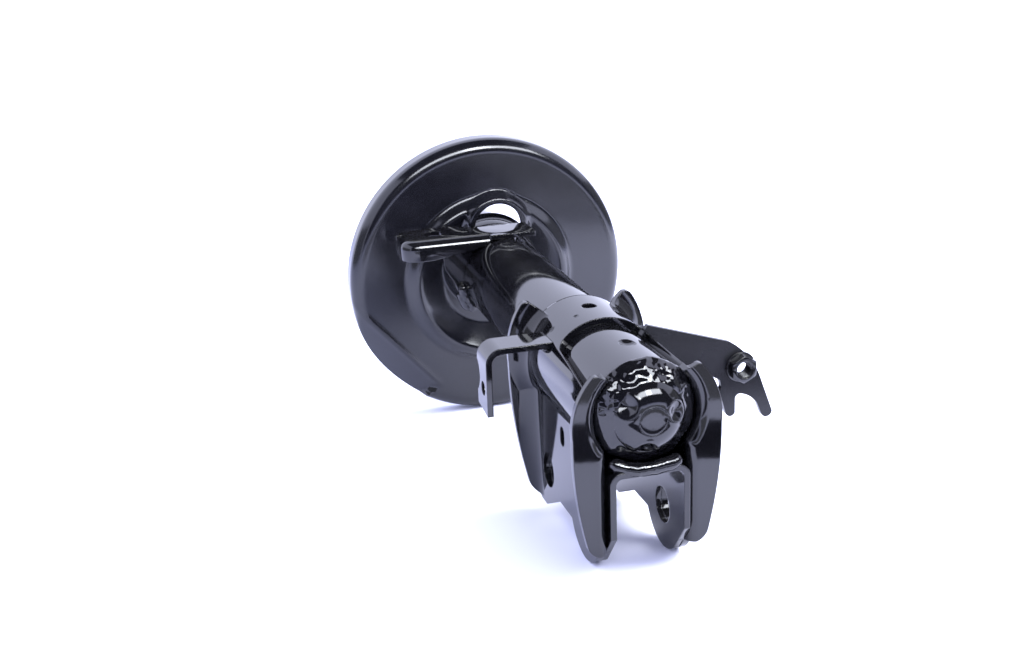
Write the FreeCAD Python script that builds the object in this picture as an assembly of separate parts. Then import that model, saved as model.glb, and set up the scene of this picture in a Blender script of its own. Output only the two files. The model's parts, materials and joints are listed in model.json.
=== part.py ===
import FreeCAD, Part
import math
import os

os.makedirs("parts", exist_ok=True)

# A front suspension strut, lying on its side as it lies on a bench: it rests on the lobes of the
# knuckle ears and on the rim of the spring seat. Millimetres.
# Everything is drawn in the strut's own frame first: Y runs along the strut axis from the end cap
# (y = 0 at the tube's near end) to the rod end, X across the ears, Z up away from the ears.
# place() then turns the finished piece to the lying angle and moves it so that the near knuckle
# bolt hole's centre is the origin.

# ---- outer tube and end cap
tube_od = 50.0              # outside diameter of the outer tube
tube_wall = 2.5             # its wall
tube_length = 348.0         # near end to the crimped lip
lip_bore = 33.0             # hole left in the crimped lip
pocket_y = 24.2             # stamped pocket on top of the tube
pocket_x = 2.1
pocket_radius = 7.2
pocket_depth = 1.8
cap_sheet = 3.0             # thickness of the domed end cap
cap_skirt = 12.0            # how far the cap's skirt reaches into the tube
dome_radius = 19.5          # radius of the dome where the weld meets it
dome_foot = 5.0             # how far the dome's foot stands out of the tube
dome_height = 9.0           # foot to top of the dome
dome_flat = 6.4             # radius of the flat on the dome
dimple_ball = 9.0
dimple_depth = 2.0
# the dimples: angle from the top towards +X, and distance from the axis
dimples = ((-57.0, 14.8), (76.0, 11.6), (189.0, 15.2))

# ---- knuckle brackets
outer_sheet = 3.5           # sheet of the outer bracket
inner_sheet = 2.9           # sheet of the inner bracket
knuckle_gap = 33.2          # clear gap between the inner bracket's legs
near_overhang = 7.0         # outer bracket's near flange stands this far past the tube's end
inner_overhang = 9.5        # inner bracket's legs stand this far past the tube's end
bracket_far = 97.0          # far end of the outer bracket
inner_far = 90.0            # far end of the inner bracket
neck_bend = 9.0             # bend radius where the keyhole turns into the ears
flange_bend = 1.5           # inside bend radius of the near flanges
far_bend = 10.0             # inside bend radius of the far flanges
near_half = 36.0            # half width over the near flanges, at their widest
near_wide_z = -8.0
near_low_half = 30.0        # half width over the near flanges, low down
near_low_z = -60.0
near_top_angle = 48.0       # where the near flanges begin, from the top
near_top_radius = 33.8
near_top_corner = 2.4
far_half = 36.8             # half width over the far flanges, at their widest
far_wide_z = -4.0
far_low_half = 28.4
far_low_z = -69.8
far_top_angle = 43.5
far_top_radius = 40.0
far_top_corner = 4.0
horn_lean = 20.0            # how far the flanges' top edges lean from the radial direction
cutout_y = 53.0             # the U-shaped cut-out on top reaches back to here
cutout_left = (56.0, 67.0)  # its left side's angle from the top, at its far end and near end
cutout_right = (46.0, 50.0)
cutout_corner = 6.0         # its round corners
cutout_start = 1.5          # nearer than this it is as narrow as the gap between the near flanges
cutout_mouth = 44.0         # half angle of that gap
bolt_hole = 18.0            # knuckle bolt hole diameter
bolt_y = 17.7               # near bolt hole, from the tube's end
bolt_spacing = 57.3         # near bolt hole to far bolt hole
bolt_drop = 57.4            # the bolt holes' distance below the strut axis
lobe_radius = 21.7          # round lobe of the ears about the near bolt hole
arch_drop = 67.0            # the ears' lower edge between the lobes
far_lobe_drop = 78.5        # the far lobe's lower edge
far_lobe_rise = 73.5        # its height at the far flange
far_lobe_start = 56.0
far_lobe_low = 79.0
far_lobe_end = 88.0
slot_y = 50.2               # upright slot in each ear
slot_drop = 29.2
slot_length = 10.0
slot_width = 6.4
plug_y = 73.5               # round plug hole on the bracket's crown
plug_hole = 7.6
mark_ball = 2.4             # three small punch marks on the crown
mark_depth = 0.5
marks = ((-46.0, 70.3), (-20.0, 65.0), (26.0, 68.4))
web_gap = 0.05              # clearance between the inner bracket's web and the tube
inner_bend = 3.1
web_bead = 3.0              # weld bead between the tube's end and the inner bracket's web
web_run = 2.4               # beads along the tube under its web

# ---- spring seat
seat_radius = 88.0          # outside radius of the dish
seat_sheet = 3.0
seat_offset = 10.0          # the dish's centre lies this far below the strut axis
seat_y = 266.0              # near face of the dish's floor
seat_depth = 17.0           # floor to rim
seat_edge = 8.0             # outside radius of the rounded edge
ring_outer = 53.0           # outer foot of the ring bead
ring_crest_out = 48.5
ring_crest_in = 40.0
ring_inner = 37.0           # inner foot of the ring bead
ring_height = 5.0           # the bead stands this far towards the cap
recess_depth = 4.0          # the floor inside the bead lies this far back
collar_length = 16.0        # collar round the tube, towards the cap
collar_wall = 2.9
collar_gap = 0.05
seat_bead = 2.6             # weld between the collar and the tube
drain_x = 4.5               # open hole beside the tube
drain_z = 24.0
drain_radius = 15.0
drain_rim = 3.6             # wall of the embossed rim round it
drain_rim_height = 7.5
facet_distance = 72.0       # slanted facet: its chord's distance from the dish's centre
facet_angle = 228.1         # direction of the facet, from the top, clockwise seen from the cap
facet_run = 17.0
facet_rise = 16.0
facet_stop = 25.0           # the facet ends in a step this far along its chord

# ---- brackets welded on
link_sheet = 3.0            # link bracket
link_depth = 22.9           # its near edge to the front of the seat's collar
link_wing = 8.1             # its left part runs on this far beside the collar
link_left = 62.0
link_right = 19.0
link_rim = 12.0             # turned-down rim at the left end
link_rim_right = 6.0        # its height where it stops
link_rim_end = 9.0          # where it stops, left of the axis
link_corner = 10.0
link_hole = 12.2
link_hole_x = 40.0
link_hole_in = 18.0         # the hole's distance from the near edge
gusset_in = 6.0             # the gusset's distance from the near edge
gusset_foot_angle = 127.0

hose_sheet = 3.0            # hose bracket on the left
hose_near = 60.0
hose_width = 17.4
hose_top = 16.6             # top face of its arm
hose_reach = 57.5
hose_bend = 5.0
hose_drop = 34.6            # arm's top to the plate's lower edge
hose_hole = 7.2
hose_hole_in = 6.8          # the hole's distance from the near edge
hose_hole_drop = 21.6
hose_notch = 9.0            # radius of the shallow notch in the far edge
hose_notch_depth = 4.8

fork_sheet = 3.0            # fork bracket on the right
fork_y = 43.0
fork_top_x = 62.0           # the corner of its top edge
fork_top_z = 11.4
fork_cheek = 10.9           # nut's centre to the plate's right edge
fork_root = 14.5            # nut's centre down to the notch
fork_low = 6.0              # and down to the plate's lower edge, left of the tines
fork_left = 2.4             # the notch's left side, left of the nut's centre
fork_tine = 5.6             # width of the tines
fork_tip_left = 25.9        # nut's centre down to the tines' tips
fork_tip_right = 28.6
fork_tip_out = 17.9         # the right tine's outer edge at its tip
nut_x = 68.0                # weld nut
nut_z = -2.3
nut_across = 12.6           # across its flats
nut_height = 6.0
nut_collar = 9.4
nut_bore = 6.8
thread_size = 8.0           # its nominal thread

# ---- rod and inner parts
rod_diameter = 22.0
rod_stroke = 140.0
rod_end_y = 534.0           # rod's far end with the strut extended
stud_length = 38.0          # reduced upper end
stud_diameter = 14.0
stud_thread = 25.0          # threaded length of it
stud_root = 12.4            # thread's root diameter
hex_socket = 6.0
hex_depth = 6.0
run_gap = 0.05              # radial running clearance of the rod, piston band and plates
pressure_bore = 32.0
pressure_wall = 1.5
guide_depth = 14.0          # rod guide's flange
guide_spigot = 4.0
bush_wall = 1.45
seal_depth = 7.0
washer_depth = 2.5
bumper_depth = 9.6
bumper_wall = 4.4
stop_depth = 4.0
stop_outside = 29.0
stop_groove = 1.0
piston_depth = 16.0
piston_to_stop = 22.0       # piston's far face to the stop ring
rod_spigot = 12.0
band_depth = 12.0
band_wall = 1.05
band_float = 0.2
check_plate = 1.0
check_lift = 1.0
hub_height = 3.0
shim_stack = 1.6
nut_depth = 8.4
piston_nut_across = 19.0
base_lift = 1.0
base_flange = 8.0
base_spigot = 8.0
base_skirt = 7.6
base_bolt = 6.0
base_nut_across = 10.0

# ---- values that follow
tube_r = tube_od / 2.0
tube_bore_r = tube_r - tube_wall
leg_in = knuckle_gap / 2.0
leg_out = leg_in + inner_sheet
panel_out = leg_out + outer_sheet
wrap_r = tube_r + outer_sheet
far_bolt_y = bolt_y + bolt_spacing
rod_r = rod_diameter / 2.0
pressure_r = pressure_bore / 2.0
seat_back_y = seat_y + seat_depth
recess_y = seat_y + recess_depth
collar_y = recess_y + seat_sheet - collar_length - 4.0
collar_r = tube_r + collar_gap
collar_out = collar_r + collar_wall
relief_y = collar_y - seat_bead - 0.5
link_near = relief_y - link_depth
link_far = relief_y + link_wing
link_hole_y = link_near + link_hole_in
gusset_y = link_near + gusset_in
lip_inside_y = tube_length - tube_wall
washer_y = lip_inside_y - washer_depth
seal_y = washer_y - seal_depth
guide_y = seal_y - guide_depth
guide_face_y = guide_y - guide_spigot
bumper_y = guide_face_y - 0.3 - bumper_depth
stop_y = bumper_y - stop_depth
shoulder_y = stop_y - piston_to_stop + hub_height
hub_y = shoulder_y - hub_height
piston_y = hub_y - piston_depth
shim_y = piston_y - shim_stack
piston_nut_y = shim_y - nut_depth
cap_inner_top = -dome_foot - dome_height + cap_sheet
base_skirt_r = dome_radius - cap_sheet - 1.0
skirt_in = tube_bore_r - 0.05 - cap_sheet


def vec(x, y, z):
    return FreeCAD.Vector(x, y, z)


def wire_of(items, to3d):
    """Closed wire through points; ("arc", mid, end) draws an arc to the next point."""
    edges = []
    start = to3d(*items[0])
    first = start
    for item in items[1:]:
        if item[0] == "arc":
            mid = to3d(*item[1])
            end = to3d(*item[2])
            edges.append(Part.Arc(start, mid, end).toShape())
        else:
            end = to3d(*item)
            edges.append(Part.makeLine(start, end))
        start = end
    if start.distanceToPoint(first) > 1e-7:
        edges.append(Part.makeLine(start, first))
    return Part.Wire(edges)


def turned(items, cx=0.0, cz=0.0):
    """Solid of revolution about the Y direction; points are (radius, y)."""
    face = Part.Face(wire_of(items, lambda r, y: vec(r, y, 0)))
    solid = face.revolve(vec(0, 0, 0), vec(0, 1, 0), 360)
    solid.translate(vec(cx, 0, cz))
    return solid


def slab_y(items, y0, y1):
    """Flat shape drawn in X and Z, thick from y0 to y1."""
    face = Part.Face(wire_of(items, lambda x, z: vec(x, y0, z)))
    return face.extrude(vec(0, y1 - y0, 0))


def slab_x(items, x0, x1):
    """Flat shape drawn in Y and Z, thick from x0 to x1."""
    face = Part.Face(wire_of(items, lambda y, z: vec(x0, y, z)))
    return face.extrude(vec(x1 - x0, 0, 0))


def slab_z(items, z0, z1):
    """Flat shape drawn in X and Y, thick from z0 to z1."""
    face = Part.Face(wire_of(items, lambda x, y: vec(x, y, z0)))
    return face.extrude(vec(0, 0, z1 - z0))


def rod_y(radius, y0, y1, x=0.0, z=0.0):
    return Part.makeCylinder(radius, y1 - y0, vec(x, y0, z), vec(0, 1, 0))


def rod_x(radius, x0, x1, y, z):
    return Part.makeCylinder(radius, x1 - x0, vec(x0, y, z), vec(1, 0, 0))


def ring_y(outer, inner, y0, y1, x=0.0, z=0.0):
    return rod_y(outer, y0, y1, x, z).cut(rod_y(inner, y0 - 1, y1 + 1, x, z))


def hex_y(across, y0, y1, x=0.0, z=0.0):
    corner = across / math.sqrt(3.0)
    pts = []
    for k in range(6):
        a = math.radians(60 * k)
        pts.append((x + corner * math.sin(a), z + corner * math.cos(a)))
    return slab_y(pts, y0, y1)


def polar(radius, angle):
    """Point in X and Z at an angle from the top, towards +X."""
    a = math.radians(angle)
    return (radius * math.sin(a), radius * math.cos(a))


def mirrored(shape):
    return shape.mirror(vec(0, 0, 0), vec(1, 0, 0))


def fillet_where(shape, radius, test):
    """Round the edges whose middle point passes the test."""
    edges = []
    for edge in shape.Edges:
        first, last = edge.ParameterRange
        if test(edge.valueAt((first + last) / 2.0), edge):
            edges.append(edge)
    return shape.makeFillet(radius, edges)


def one(shape):
    """The single solid of a boolean result, with joined faces cleaned up."""
    shape = shape.removeSplitter()
    if len(shape.Solids) == 1:
        return shape.Solids[0]
    return shape


# ---- outer tube
def make_outer_tube():
    turn = tube_wall * 1.6
    lip_r = lip_bore / 2.0
    tube = turned([
        (tube_bore_r, 0), (tube_r, 0), (tube_r, tube_length - turn),
        ("arc", (tube_r - turn * 0.293, tube_length - turn * 0.293),
         (tube_r - turn, tube_length)),
        (lip_r, tube_length), (lip_r, lip_inside_y), (tube_bore_r, lip_inside_y)])
    ball = Part.makeSphere(pocket_radius, vec(pocket_x, pocket_y,
                                              tube_r + pocket_radius - pocket_depth))
    return one(tube.cut(ball))


# ---- end cap: skirt inside the tube, shoulder, dome with a flat and three dimples
def make_end_cap():
    top = -dome_foot - dome_height
    skirt_r = tube_bore_r - 0.05
    mid_r = (dome_radius + dome_flat) / 2.0 + 1.6
    mid_y = -dome_foot - dome_height * 0.70
    cap = turned([
        (0, top), (dome_flat, top), ("arc", (mid_r, mid_y), (dome_radius, -dome_foot)),
        (skirt_r, 0), (skirt_r, cap_skirt), (skirt_in, cap_skirt), (skirt_in, cap_sheet * 0.5),
        (dome_radius - cap_sheet, -dome_foot + cap_sheet * 0.6),
        (dome_flat, cap_inner_top), (0, cap_inner_top)])
    # each dimple is a ball pressed in square to the dome's curve
    dome = Part.Arc(vec(dome_flat, top, 0), vec(mid_r, mid_y, 0), vec(dome_radius, -dome_foot, 0))
    dome = dome.toShape().Curve
    for angle, distance in dimples:
        rise = math.sqrt(dome.Radius ** 2 - (distance - dome.Center.x) ** 2)
        share = 1.0 + (dimple_ball - dimple_depth) / dome.Radius
        out = dome.Center.x + (distance - dome.Center.x) * share
        x, z = polar(out, angle)
        cap = cap.cut(Part.makeSphere(dimple_ball, vec(x, dome.Center.y - rise * share, z)))
    return one(cap)


def make_end_cap_weld(cap, tube):
    skirt_r = tube_bore_r - 0.05
    bead = turned([
        (skirt_r, 0), (tube_r - 0.1, 0),
        ("arc", (tube_r - 1.5, -dome_foot * 0.72), (dome_radius, -dome_foot - 0.2)),
        (dome_radius, -dome_foot)])
    return one(bead.cut(cap).cut(tube))


# ---- keyhole section of the outer bracket, grown by a given amount
def keyhole(grow, low):
    xc = leg_out + neck_bend
    dc = tube_r + neck_bend
    zc = -math.sqrt(dc * dc - xc * xc)
    r = tube_r + grow
    tx = r * xc / dc
    tz = r * zc / dc
    small = neck_bend - grow
    ux = -1.0 - xc / dc
    uz = -zc / dc
    length = math.hypot(ux, uz)
    mx = xc + small * ux / length
    mz = zc + small * uz / length
    side = leg_out + grow
    return [(-side, low), (side, low), (side, zc), ("arc", (mx, mz), (tx, tz)),
            ("arc", (0, r), (-tx, tz)), ("arc", (-mx, mz), (-side, zc))]


def flange_half(y0, y1, top_angle, top_r, top_corner, half, wide_z, low_half, low_z, mid_share,
                low):
    """Right-hand flange plate between its curved outer edge and the keyhole."""
    tx, tz = polar(top_r, top_angle)
    ix, iz = polar(tube_r * 0.6, top_angle - horn_lean)
    drop = wide_z - tz
    ax = half - (half - tx) * 0.18
    az = tz + drop * 0.45
    mx = half - (half - low_half) * mid_share
    mz = (wide_z + low_z) / 2.0
    corner = 6.0
    plate = slab_y([
        (ix, iz), (tx, tz), ("arc", (ax, az), (half, wide_z)), ("arc", (mx, mz), (low_half, low_z)),
        ("arc", (low_half - corner * 0.45, low_z - corner * 0.85),
         (low_half - corner * 1.3, low_z - corner * 1.2)),
        (low_half - corner * 1.3, low), (0, low), (0, iz)], y0, y1)
    return fillet_where(plate, top_corner,
                        lambda p, edge: abs(p.x - tx) < 0.01 and abs(p.z - tz) < 0.01)


def ear_bottom_cut():
    """What is cut away below the ears: all below the arch line except the two lobes."""
    block = Part.makeBox(160, 160, 60, vec(-80, -30, -arch_drop - 60))
    lobe = rod_x(lobe_radius, -81, 81, bolt_y, -bolt_drop)
    far = slab_x([(far_lobe_start, -arch_drop + 1), (far_lobe_start, -arch_drop),
                  (far_lobe_low, -far_lobe_drop), (far_lobe_end, -far_lobe_drop),
                  (bracket_far + 1, -far_lobe_rise), (bracket_far + 1, -arch_drop + 1)], -81, 81)
    return block.cut(lobe).cut(far)


def bolt_holes():
    r = bolt_hole / 2.0
    near = rod_x(r, -60, 60, bolt_y, -bolt_drop)
    far = rod_x(r, -60, 60, far_bolt_y, -bolt_drop)
    return near.fuse(far)


def bend_strip(grow, radius, y_face, side, sink):
    """Corner strip between the keyhole's wall and a flange face, hollowed to a bend radius.

    grow says which face of the sheet the wall is, side which way the strip runs along it, and
    sink how far the strip reaches past both faces."""
    xc = leg_out + neck_bend
    dc = tube_r + neck_bend
    zc = -math.sqrt(dc * dc - xc * xc)
    k = radius * (1.0 - math.sqrt(0.5))

    def section(start, out):
        return [(start - out * sink, y_face - side * sink), (start + out * radius, y_face - side * sink),
                (start + out * radius, y_face), ("arc", (start + out * k, y_face + side * k),
                                                 (start, y_face + side * radius)),
                (start - out * sink, y_face + side * radius)]
    wall = Part.Face(wire_of(section(leg_out + grow, 1), lambda d, y: vec(d, y, -120)))
    neck_r = neck_bend - grow
    snug = neck_r > radius
    wall = wall.extrude(vec(0, 0, 120 + (zc if snug else zc + 12.0)))
    wrap = Part.Face(wire_of(section(tube_r + grow, 1), lambda d, y: vec(0, y, d)))
    turn = math.degrees(math.atan2(xc, zc))
    wrap = wrap.revolve(vec(0, 0, 0), vec(0, 1, 0), turn if snug else turn + 28.0)
    # round the neck: only the sector between the ear's wall and the wrap
    reach_n = min(neck_r, radius)

    def rise(depth):
        return radius - math.sqrt(radius ** 2 - (radius - depth) ** 2)
    items = [(-sink, y_face - side * sink), (reach_n, y_face - side * sink),
             (reach_n, y_face + side * rise(reach_n)),
             ("arc", (reach_n / 2.0, y_face + side * rise(reach_n / 2.0)),
              (0, y_face + side * radius)), (-sink, y_face + side * radius)]
    neck = Part.Face(wire_of(items, lambda d, y: vec(xc - neck_r + d, y, zc)))
    sector = math.degrees(math.atan2(-zc, xc))
    neck = neck.revolve(vec(xc, 0, zc), vec(0, 1, 0), sector)
    strip = wall.fuse([wrap, neck])
    return strip.fuse(mirrored(strip))


def top_cutout():
    """U-shaped cut-out over the tube's near end, with round corners at its far end."""
    near = -near_overhang - 2
    r = wrap_r
    reach_r = r + 30
    corner = cutout_corner
    lean = math.degrees(math.asin(corner / r))
    k = corner * (1.0 - math.sqrt(0.5))

    def side(far_angle, near_angle):
        flare = r * math.sin(math.radians(near_angle - far_angle + lean))
        part = slab_z([(-8, cutout_start), (flare, cutout_start), (corner, cutout_y - corner),
                       ("arc", (corner - k, cutout_y - k), (0, cutout_y)), (-8, cutout_y)],
                      8, reach_r)
        part.rotate(vec(0, 0, 0), vec(0, 1, 0), far_angle - lean)
        return part

    def wedge(left, right, y0, y1):
        return slab_y([(0, 0), polar(reach_r, -left), (0, reach_r * 1.3), polar(reach_r, right)],
                      y0, y1)
    return wedge(cutout_left[0] - lean, cutout_right[0] - lean, cutout_start, cutout_y).fuse([
        mirrored(side(*cutout_left)), side(*cutout_right),
        wedge(cutout_mouth, cutout_mouth, near, cutout_start + 0.5)])


def make_outer_bracket():
    low = -far_lobe_drop - 6
    near = -near_overhang
    far = bracket_far
    t = outer_sheet
    near_edge = (near_top_angle, near_top_radius, near_top_corner, near_half, near_wide_z,
                 near_low_half, near_low_z, 0.22, low)
    far_edge = (far_top_angle, far_top_radius, far_top_corner, far_half, far_wide_z,
                far_low_half, far_low_z, 0.28, low)
    body = slab_y(keyhole(t, low), near, far)
    for y0, y1, side, bend, edge in ((near, near + t, 1, flange_bend, near_edge),
                                     (far - t, far, -1, far_bend, far_edge)):
        plate = flange_half(y0, y1, *edge)
        inside_face = y1 if side > 0 else y0
        reach_y = inside_face + side * bend
        room = flange_half(min(inside_face, reach_y) - 0.5, max(inside_face, reach_y) + 0.5, *edge)
        room = room.fuse(mirrored(room))
        strip = bend_strip(t, bend, inside_face, side, 0.4).common(room)
        body = body.fuse([plate, mirrored(plate), strip])
    body = body.cut(slab_y(keyhole(0.0, low - 5), near - 1, far + 1))
    body = body.cut(bend_strip(0.0, flange_bend + t, near, 1, 1.0))
    body = body.cut(bend_strip(0.0, far_bend + t, far, -1, 1.0))
    body = body.cut(top_cutout())
    body = body.cut(ear_bottom_cut())
    body = body.cut(bolt_holes())

    # upright slots in the ears
    r = slot_width / 2.0
    top = -slot_drop + slot_length / 2.0 - r
    bottom = -slot_drop - slot_length / 2.0 + r
    slot = slab_x([(slot_y - r, bottom), ("arc", (slot_y, bottom - r), (slot_y + r, bottom)),
                   (slot_y + r, top), ("arc", (slot_y, top + r), (slot_y - r, top))], -60, 60)
    body = body.cut(slot)
    body = body.cut(Part.makeCylinder(plug_hole / 2.0, 20, vec(0, plug_y, tube_r - 5)))
    for angle, y in marks:
        x, z = polar(wrap_r + mark_ball - mark_depth, angle)
        body = body.cut(Part.makeSphere(mark_ball, vec(x, y, z)))
    return one(body)


def make_inner_bracket():
    top = -tube_r - web_gap
    low = -far_lobe_drop - 6
    ro = inner_bend + inner_sheet
    k = 1.0 - math.sqrt(0.5)
    outside = slab_y([
        (-leg_out, low), (-leg_out, top - ro),
        ("arc", (-leg_out + ro * k, top - ro * k), (-leg_out + ro, top)), (leg_out - ro, top),
        ("arc", (leg_out - ro * k, top - ro * k), (leg_out, top - ro)), (leg_out, low)],
        -inner_overhang, inner_far)
    ri = inner_bend
    t = top - inner_sheet
    inside = slab_y([
        (-leg_in, low - 1), (-leg_in, t - ri),
        ("arc", (-leg_in + ri * k, t - ri * k), (-leg_in + ri, t)), (leg_in - ri, t),
        ("arc", (leg_in - ri * k, t - ri * k), (leg_in, t - ri)), (leg_in, low - 1)],
        -inner_overhang - 1, inner_far + 1)
    body = outside.cut(inside).cut(ear_bottom_cut())
    # the legs' near lower corners are cut off at a slant
    corner = slab_x([(-inner_overhang - 5, -bolt_drop - 0.5), (-inner_overhang, -bolt_drop - 0.5),
                     (bolt_y - lobe_radius * 0.62, -bolt_drop - lobe_radius * 0.79),
                     (bolt_y - lobe_radius * 0.62, -bolt_drop - 60), (-inner_overhang - 5,
                                                                      -bolt_drop - 60)], -60, 60)
    body = body.cut(corner)
    return one(body.cut(bolt_holes()))


def make_knuckle_weld(others):
    """Bead between the tube's end and the inner bracket's web, and two runs along the tube."""
    r = web_bead
    half = leg_in - inner_bend
    bead = rod_x(r, -half, half, -1.4, -tube_r + 0.2)
    for x in (-half, half):
        bead = bead.fuse(Part.makeSphere(r, vec(x, -1.4, -tube_r + 0.2)))
    side = half * 2.0 / 3.0
    ends = (cap_skirt, inner_far - 20.0)
    run = rod_y(web_run, ends[0], ends[1], side, -tube_r - 0.4)
    for y in ends:
        run = run.fuse(Part.makeSphere(web_run, vec(side, y, -tube_r - 0.4)))
    shape = bead.fuse([run, mirrored(run)])
    for other in others:
        shape = shape.cut(other)
    return Part.Compound([s for s in shape.Solids if s.Volume > 5.0])


# ---- spring seat
def seat_puck(near, back_y, facet_d, facet_y):
    """Filled form under one face of the dish, with its slanted facet."""
    body = turned(near + [(0, back_y)], 0, -seat_offset)
    slope = facet_rise / facet_run
    far_d = facet_d + 40.0
    a = math.radians(facet_angle)
    dx, dz = math.sin(a), math.cos(a)
    px, pz = dz, -dx
    pts = [(facet_d, facet_y), (far_d, facet_y + 40.0 * slope), (far_d, facet_y - 60),
           (facet_d, facet_y - 60)]
    base = -facet_stop
    verts = [vec(d * dx + base * px, y, -seat_offset + d * dz + base * pz) for d, y in pts]
    face = Part.Face(Part.makePolygon(verts + [verts[0]]))
    length = seat_radius + facet_stop + 20.0
    return body.cut(face.extrude(vec(length * px, 0, length * pz)))


def make_spring_seat():
    t = seat_sheet
    e = seat_edge
    k = 1.0 - math.sqrt(0.5)
    crest = seat_y - ring_height
    outer = [(0, recess_y), (ring_inner, recess_y), (ring_crest_in, crest),
             (ring_crest_out, crest), (ring_outer, seat_y), (seat_radius - e, seat_y),
             ("arc", (seat_radius - e * k, seat_y + e * k), (seat_radius, seat_y + e)),
             (seat_radius, seat_back_y)]
    ei = e - t
    inner = [(0, recess_y + t), (ring_inner + 2.2, recess_y + t), (ring_crest_in + 2.3, crest + t),
             (ring_crest_out - 1.3, crest + t), (ring_outer - 1.3, seat_y + t),
             (seat_radius - e, seat_y + t),
             ("arc", (seat_radius - t - ei * k, seat_y + t + ei * k),
              (seat_radius - t, seat_y + e)), (seat_radius - t, seat_back_y + 30)]
    slope = facet_rise / facet_run
    shift = t * (math.hypot(1.0, slope) - 1.0) / slope
    a = seat_puck(outer, seat_back_y, facet_distance, seat_y)
    b = seat_puck(inner, seat_back_y + 30, facet_distance - shift, seat_y + t)
    dish = a.cut(b)
    # embossed rim round the open hole, then the hole, then the collar round the tube
    rim_r = drain_radius + drain_rim
    rim = rod_y(rim_r, seat_y - drain_rim_height, recess_y + t, drain_x, drain_z)
    rim = fillet_where(rim, 2.6, lambda p, edge: abs(p.y - seat_y + drain_rim_height) < 0.01
                       and edge.Curve.TypeId == "Part::GeomCircle")
    dish = dish.fuse(rim)
    dish = dish.cut(rod_y(drain_radius, seat_y - 20, seat_back_y + 5, drain_x, drain_z))
    collar = rod_y(collar_out, collar_y, recess_y + t)
    dish = dish.fuse(collar)
    dish = dish.cut(rod_y(collar_r, collar_y - 5, seat_back_y + 5))
    return one(dish)


def make_seat_weld():
    h = seat_bead
    bead = turned([(tube_r, collar_y), (collar_out - 0.3, collar_y),
                   ("arc", (tube_r + h * 0.72, collar_y - h * 0.72), (tube_r, collar_y - h))])
    return one(bead)


# ---- link bracket: plate over the tube, turned-down rim, gusset
def make_link_bracket():
    t = link_sheet
    z0 = tube_r + web_gap
    z1 = z0 + t
    c = link_corner
    k = c * (1.0 - math.sqrt(0.5))

    def plan(grow):
        return [(link_right, link_near + grow), (-link_left + c, link_near + grow),
                ("arc", (-link_left + k + grow * 0.7, link_near + k + grow * 0.7),
                 (-link_left + grow, link_near + c)),
                (-link_left + grow, link_far - c), ("arc", (-link_left + k + grow * 0.7,
                                                            link_far - k - grow * 0.7),
                                                    (-link_left + c, link_far - grow)),
                (-collar_out + 4.0, link_far - grow), (-collar_out / 2.0, relief_y),
                (link_right, relief_y)]
    plate = slab_z(plan(0), z0, z1)
    skirt = slab_z(plan(0), z1 - link_rim, z1).cut(slab_z(plan(t), z1 - link_rim - 1, z1 + 1))
    keep = slab_y([(-link_left - 5, z1 + 1), (-link_rim_end, z1 + 1),
                   (-link_rim_end, z1 - link_rim_right), (-link_left * 0.72, z1 - link_rim),
                   (-link_left - 5, z1 - link_rim)], link_near - 1, link_near + c * 2.2)
    skirt = skirt.common(keep)
    foot = polar(tube_r, -gusset_foot_angle)
    gusset = slab_y([(-38.0, z0 + 0.5), (-36.5, 8.5), (-30.0, -2.5), (foot[0] - 3.0, foot[1] + 3.0),
                     foot, (0, 0), (0, z0 + 0.5)], gusset_y, gusset_y + t)
    body = plate.fuse([skirt, gusset])
    body = body.cut(rod_y(tube_r + web_gap, link_near - 5, link_far + 5))
    body = body.cut(Part.makeCylinder(link_hole / 2.0, 20, vec(-link_hole_x, link_hole_y, z0 - 5)))
    return one(body)


def weld_arc(radius, path_r, y, angle0, angle1, others):
    """Round bead that runs round the strut's axis, less what it is welded to."""
    x0, z0 = polar(path_r, angle0)
    x1, z1 = polar(path_r, angle1)
    ends = [Part.makeSphere(radius, vec(x, y, z)) for x, z in ((x0, z0), (x1, z1))]
    direction = vec(z0, 0, -x0)
    ring = Part.Face(Part.Wire(Part.makeCircle(radius, vec(x0, y, z0), direction)))
    run = ring.revolve(vec(0, 0, 0), vec(0, 1, 0), angle1 - angle0)
    shape = run.fuse(ends)
    for other in others:
        shape = shape.cut(other)
    return shape


def make_link_weld(others):
    behind = Part.makeBox(200, 40, 200, vec(-100, gusset_y, -100))
    return one(weld_arc(3.3, tube_r + 0.8, gusset_y - 0.4, -gusset_foot_angle - 4, -96,
                        list(others) + [behind]))


# ---- hose bracket: an arm from the wrap, bent down into a plate with a hole
def make_hose_bracket():
    t = hose_sheet
    y0 = hose_near
    y1 = hose_near + hose_width
    z1 = hose_top
    z0 = z1 - t
    x = -hose_reach
    ro = hose_bend + t
    k = 1.0 - math.sqrt(0.5)
    root = -math.sqrt(wrap_r ** 2 - z1 ** 2) + 0.6
    bottom = z1 - hose_drop
    side = slab_y([
        (root, z1), (x + ro, z1), ("arc", (x + ro * k, z1 - ro * k), (x, z1 - ro)), (x, bottom),
        (x + t, bottom), (x + t, z0 - hose_bend),
        ("arc", (x + t + hose_bend * k, z0 - hose_bend * k), (x + ro, z0)), (root + 2.2, z0)],
        y0, y1)
    side = side.cut(rod_y(wrap_r + 0.02, y0 - 1, y1 + 1))
    side = side.cut(rod_x(hose_hole / 2.0, x - 5, x + t + 5, y0 + hose_hole_in,
                          z1 - hose_hole_drop))
    # shallow notch in the plate's far edge, and its lower edge rises towards the far side
    side = side.cut(rod_x(hose_notch, x - 5, x + t + 5, y1 + hose_notch - hose_notch_depth,
                          z1 - hose_drop * 0.5))
    corner = slab_x([(y0 + 1.0, bottom - 1), (y1 + 1, bottom - 1), (y1 + 1, bottom + 2.6),
                     (y0 + 1.0, bottom)], x - 5, x + t + 5)
    return one(side.cut(corner))


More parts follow.
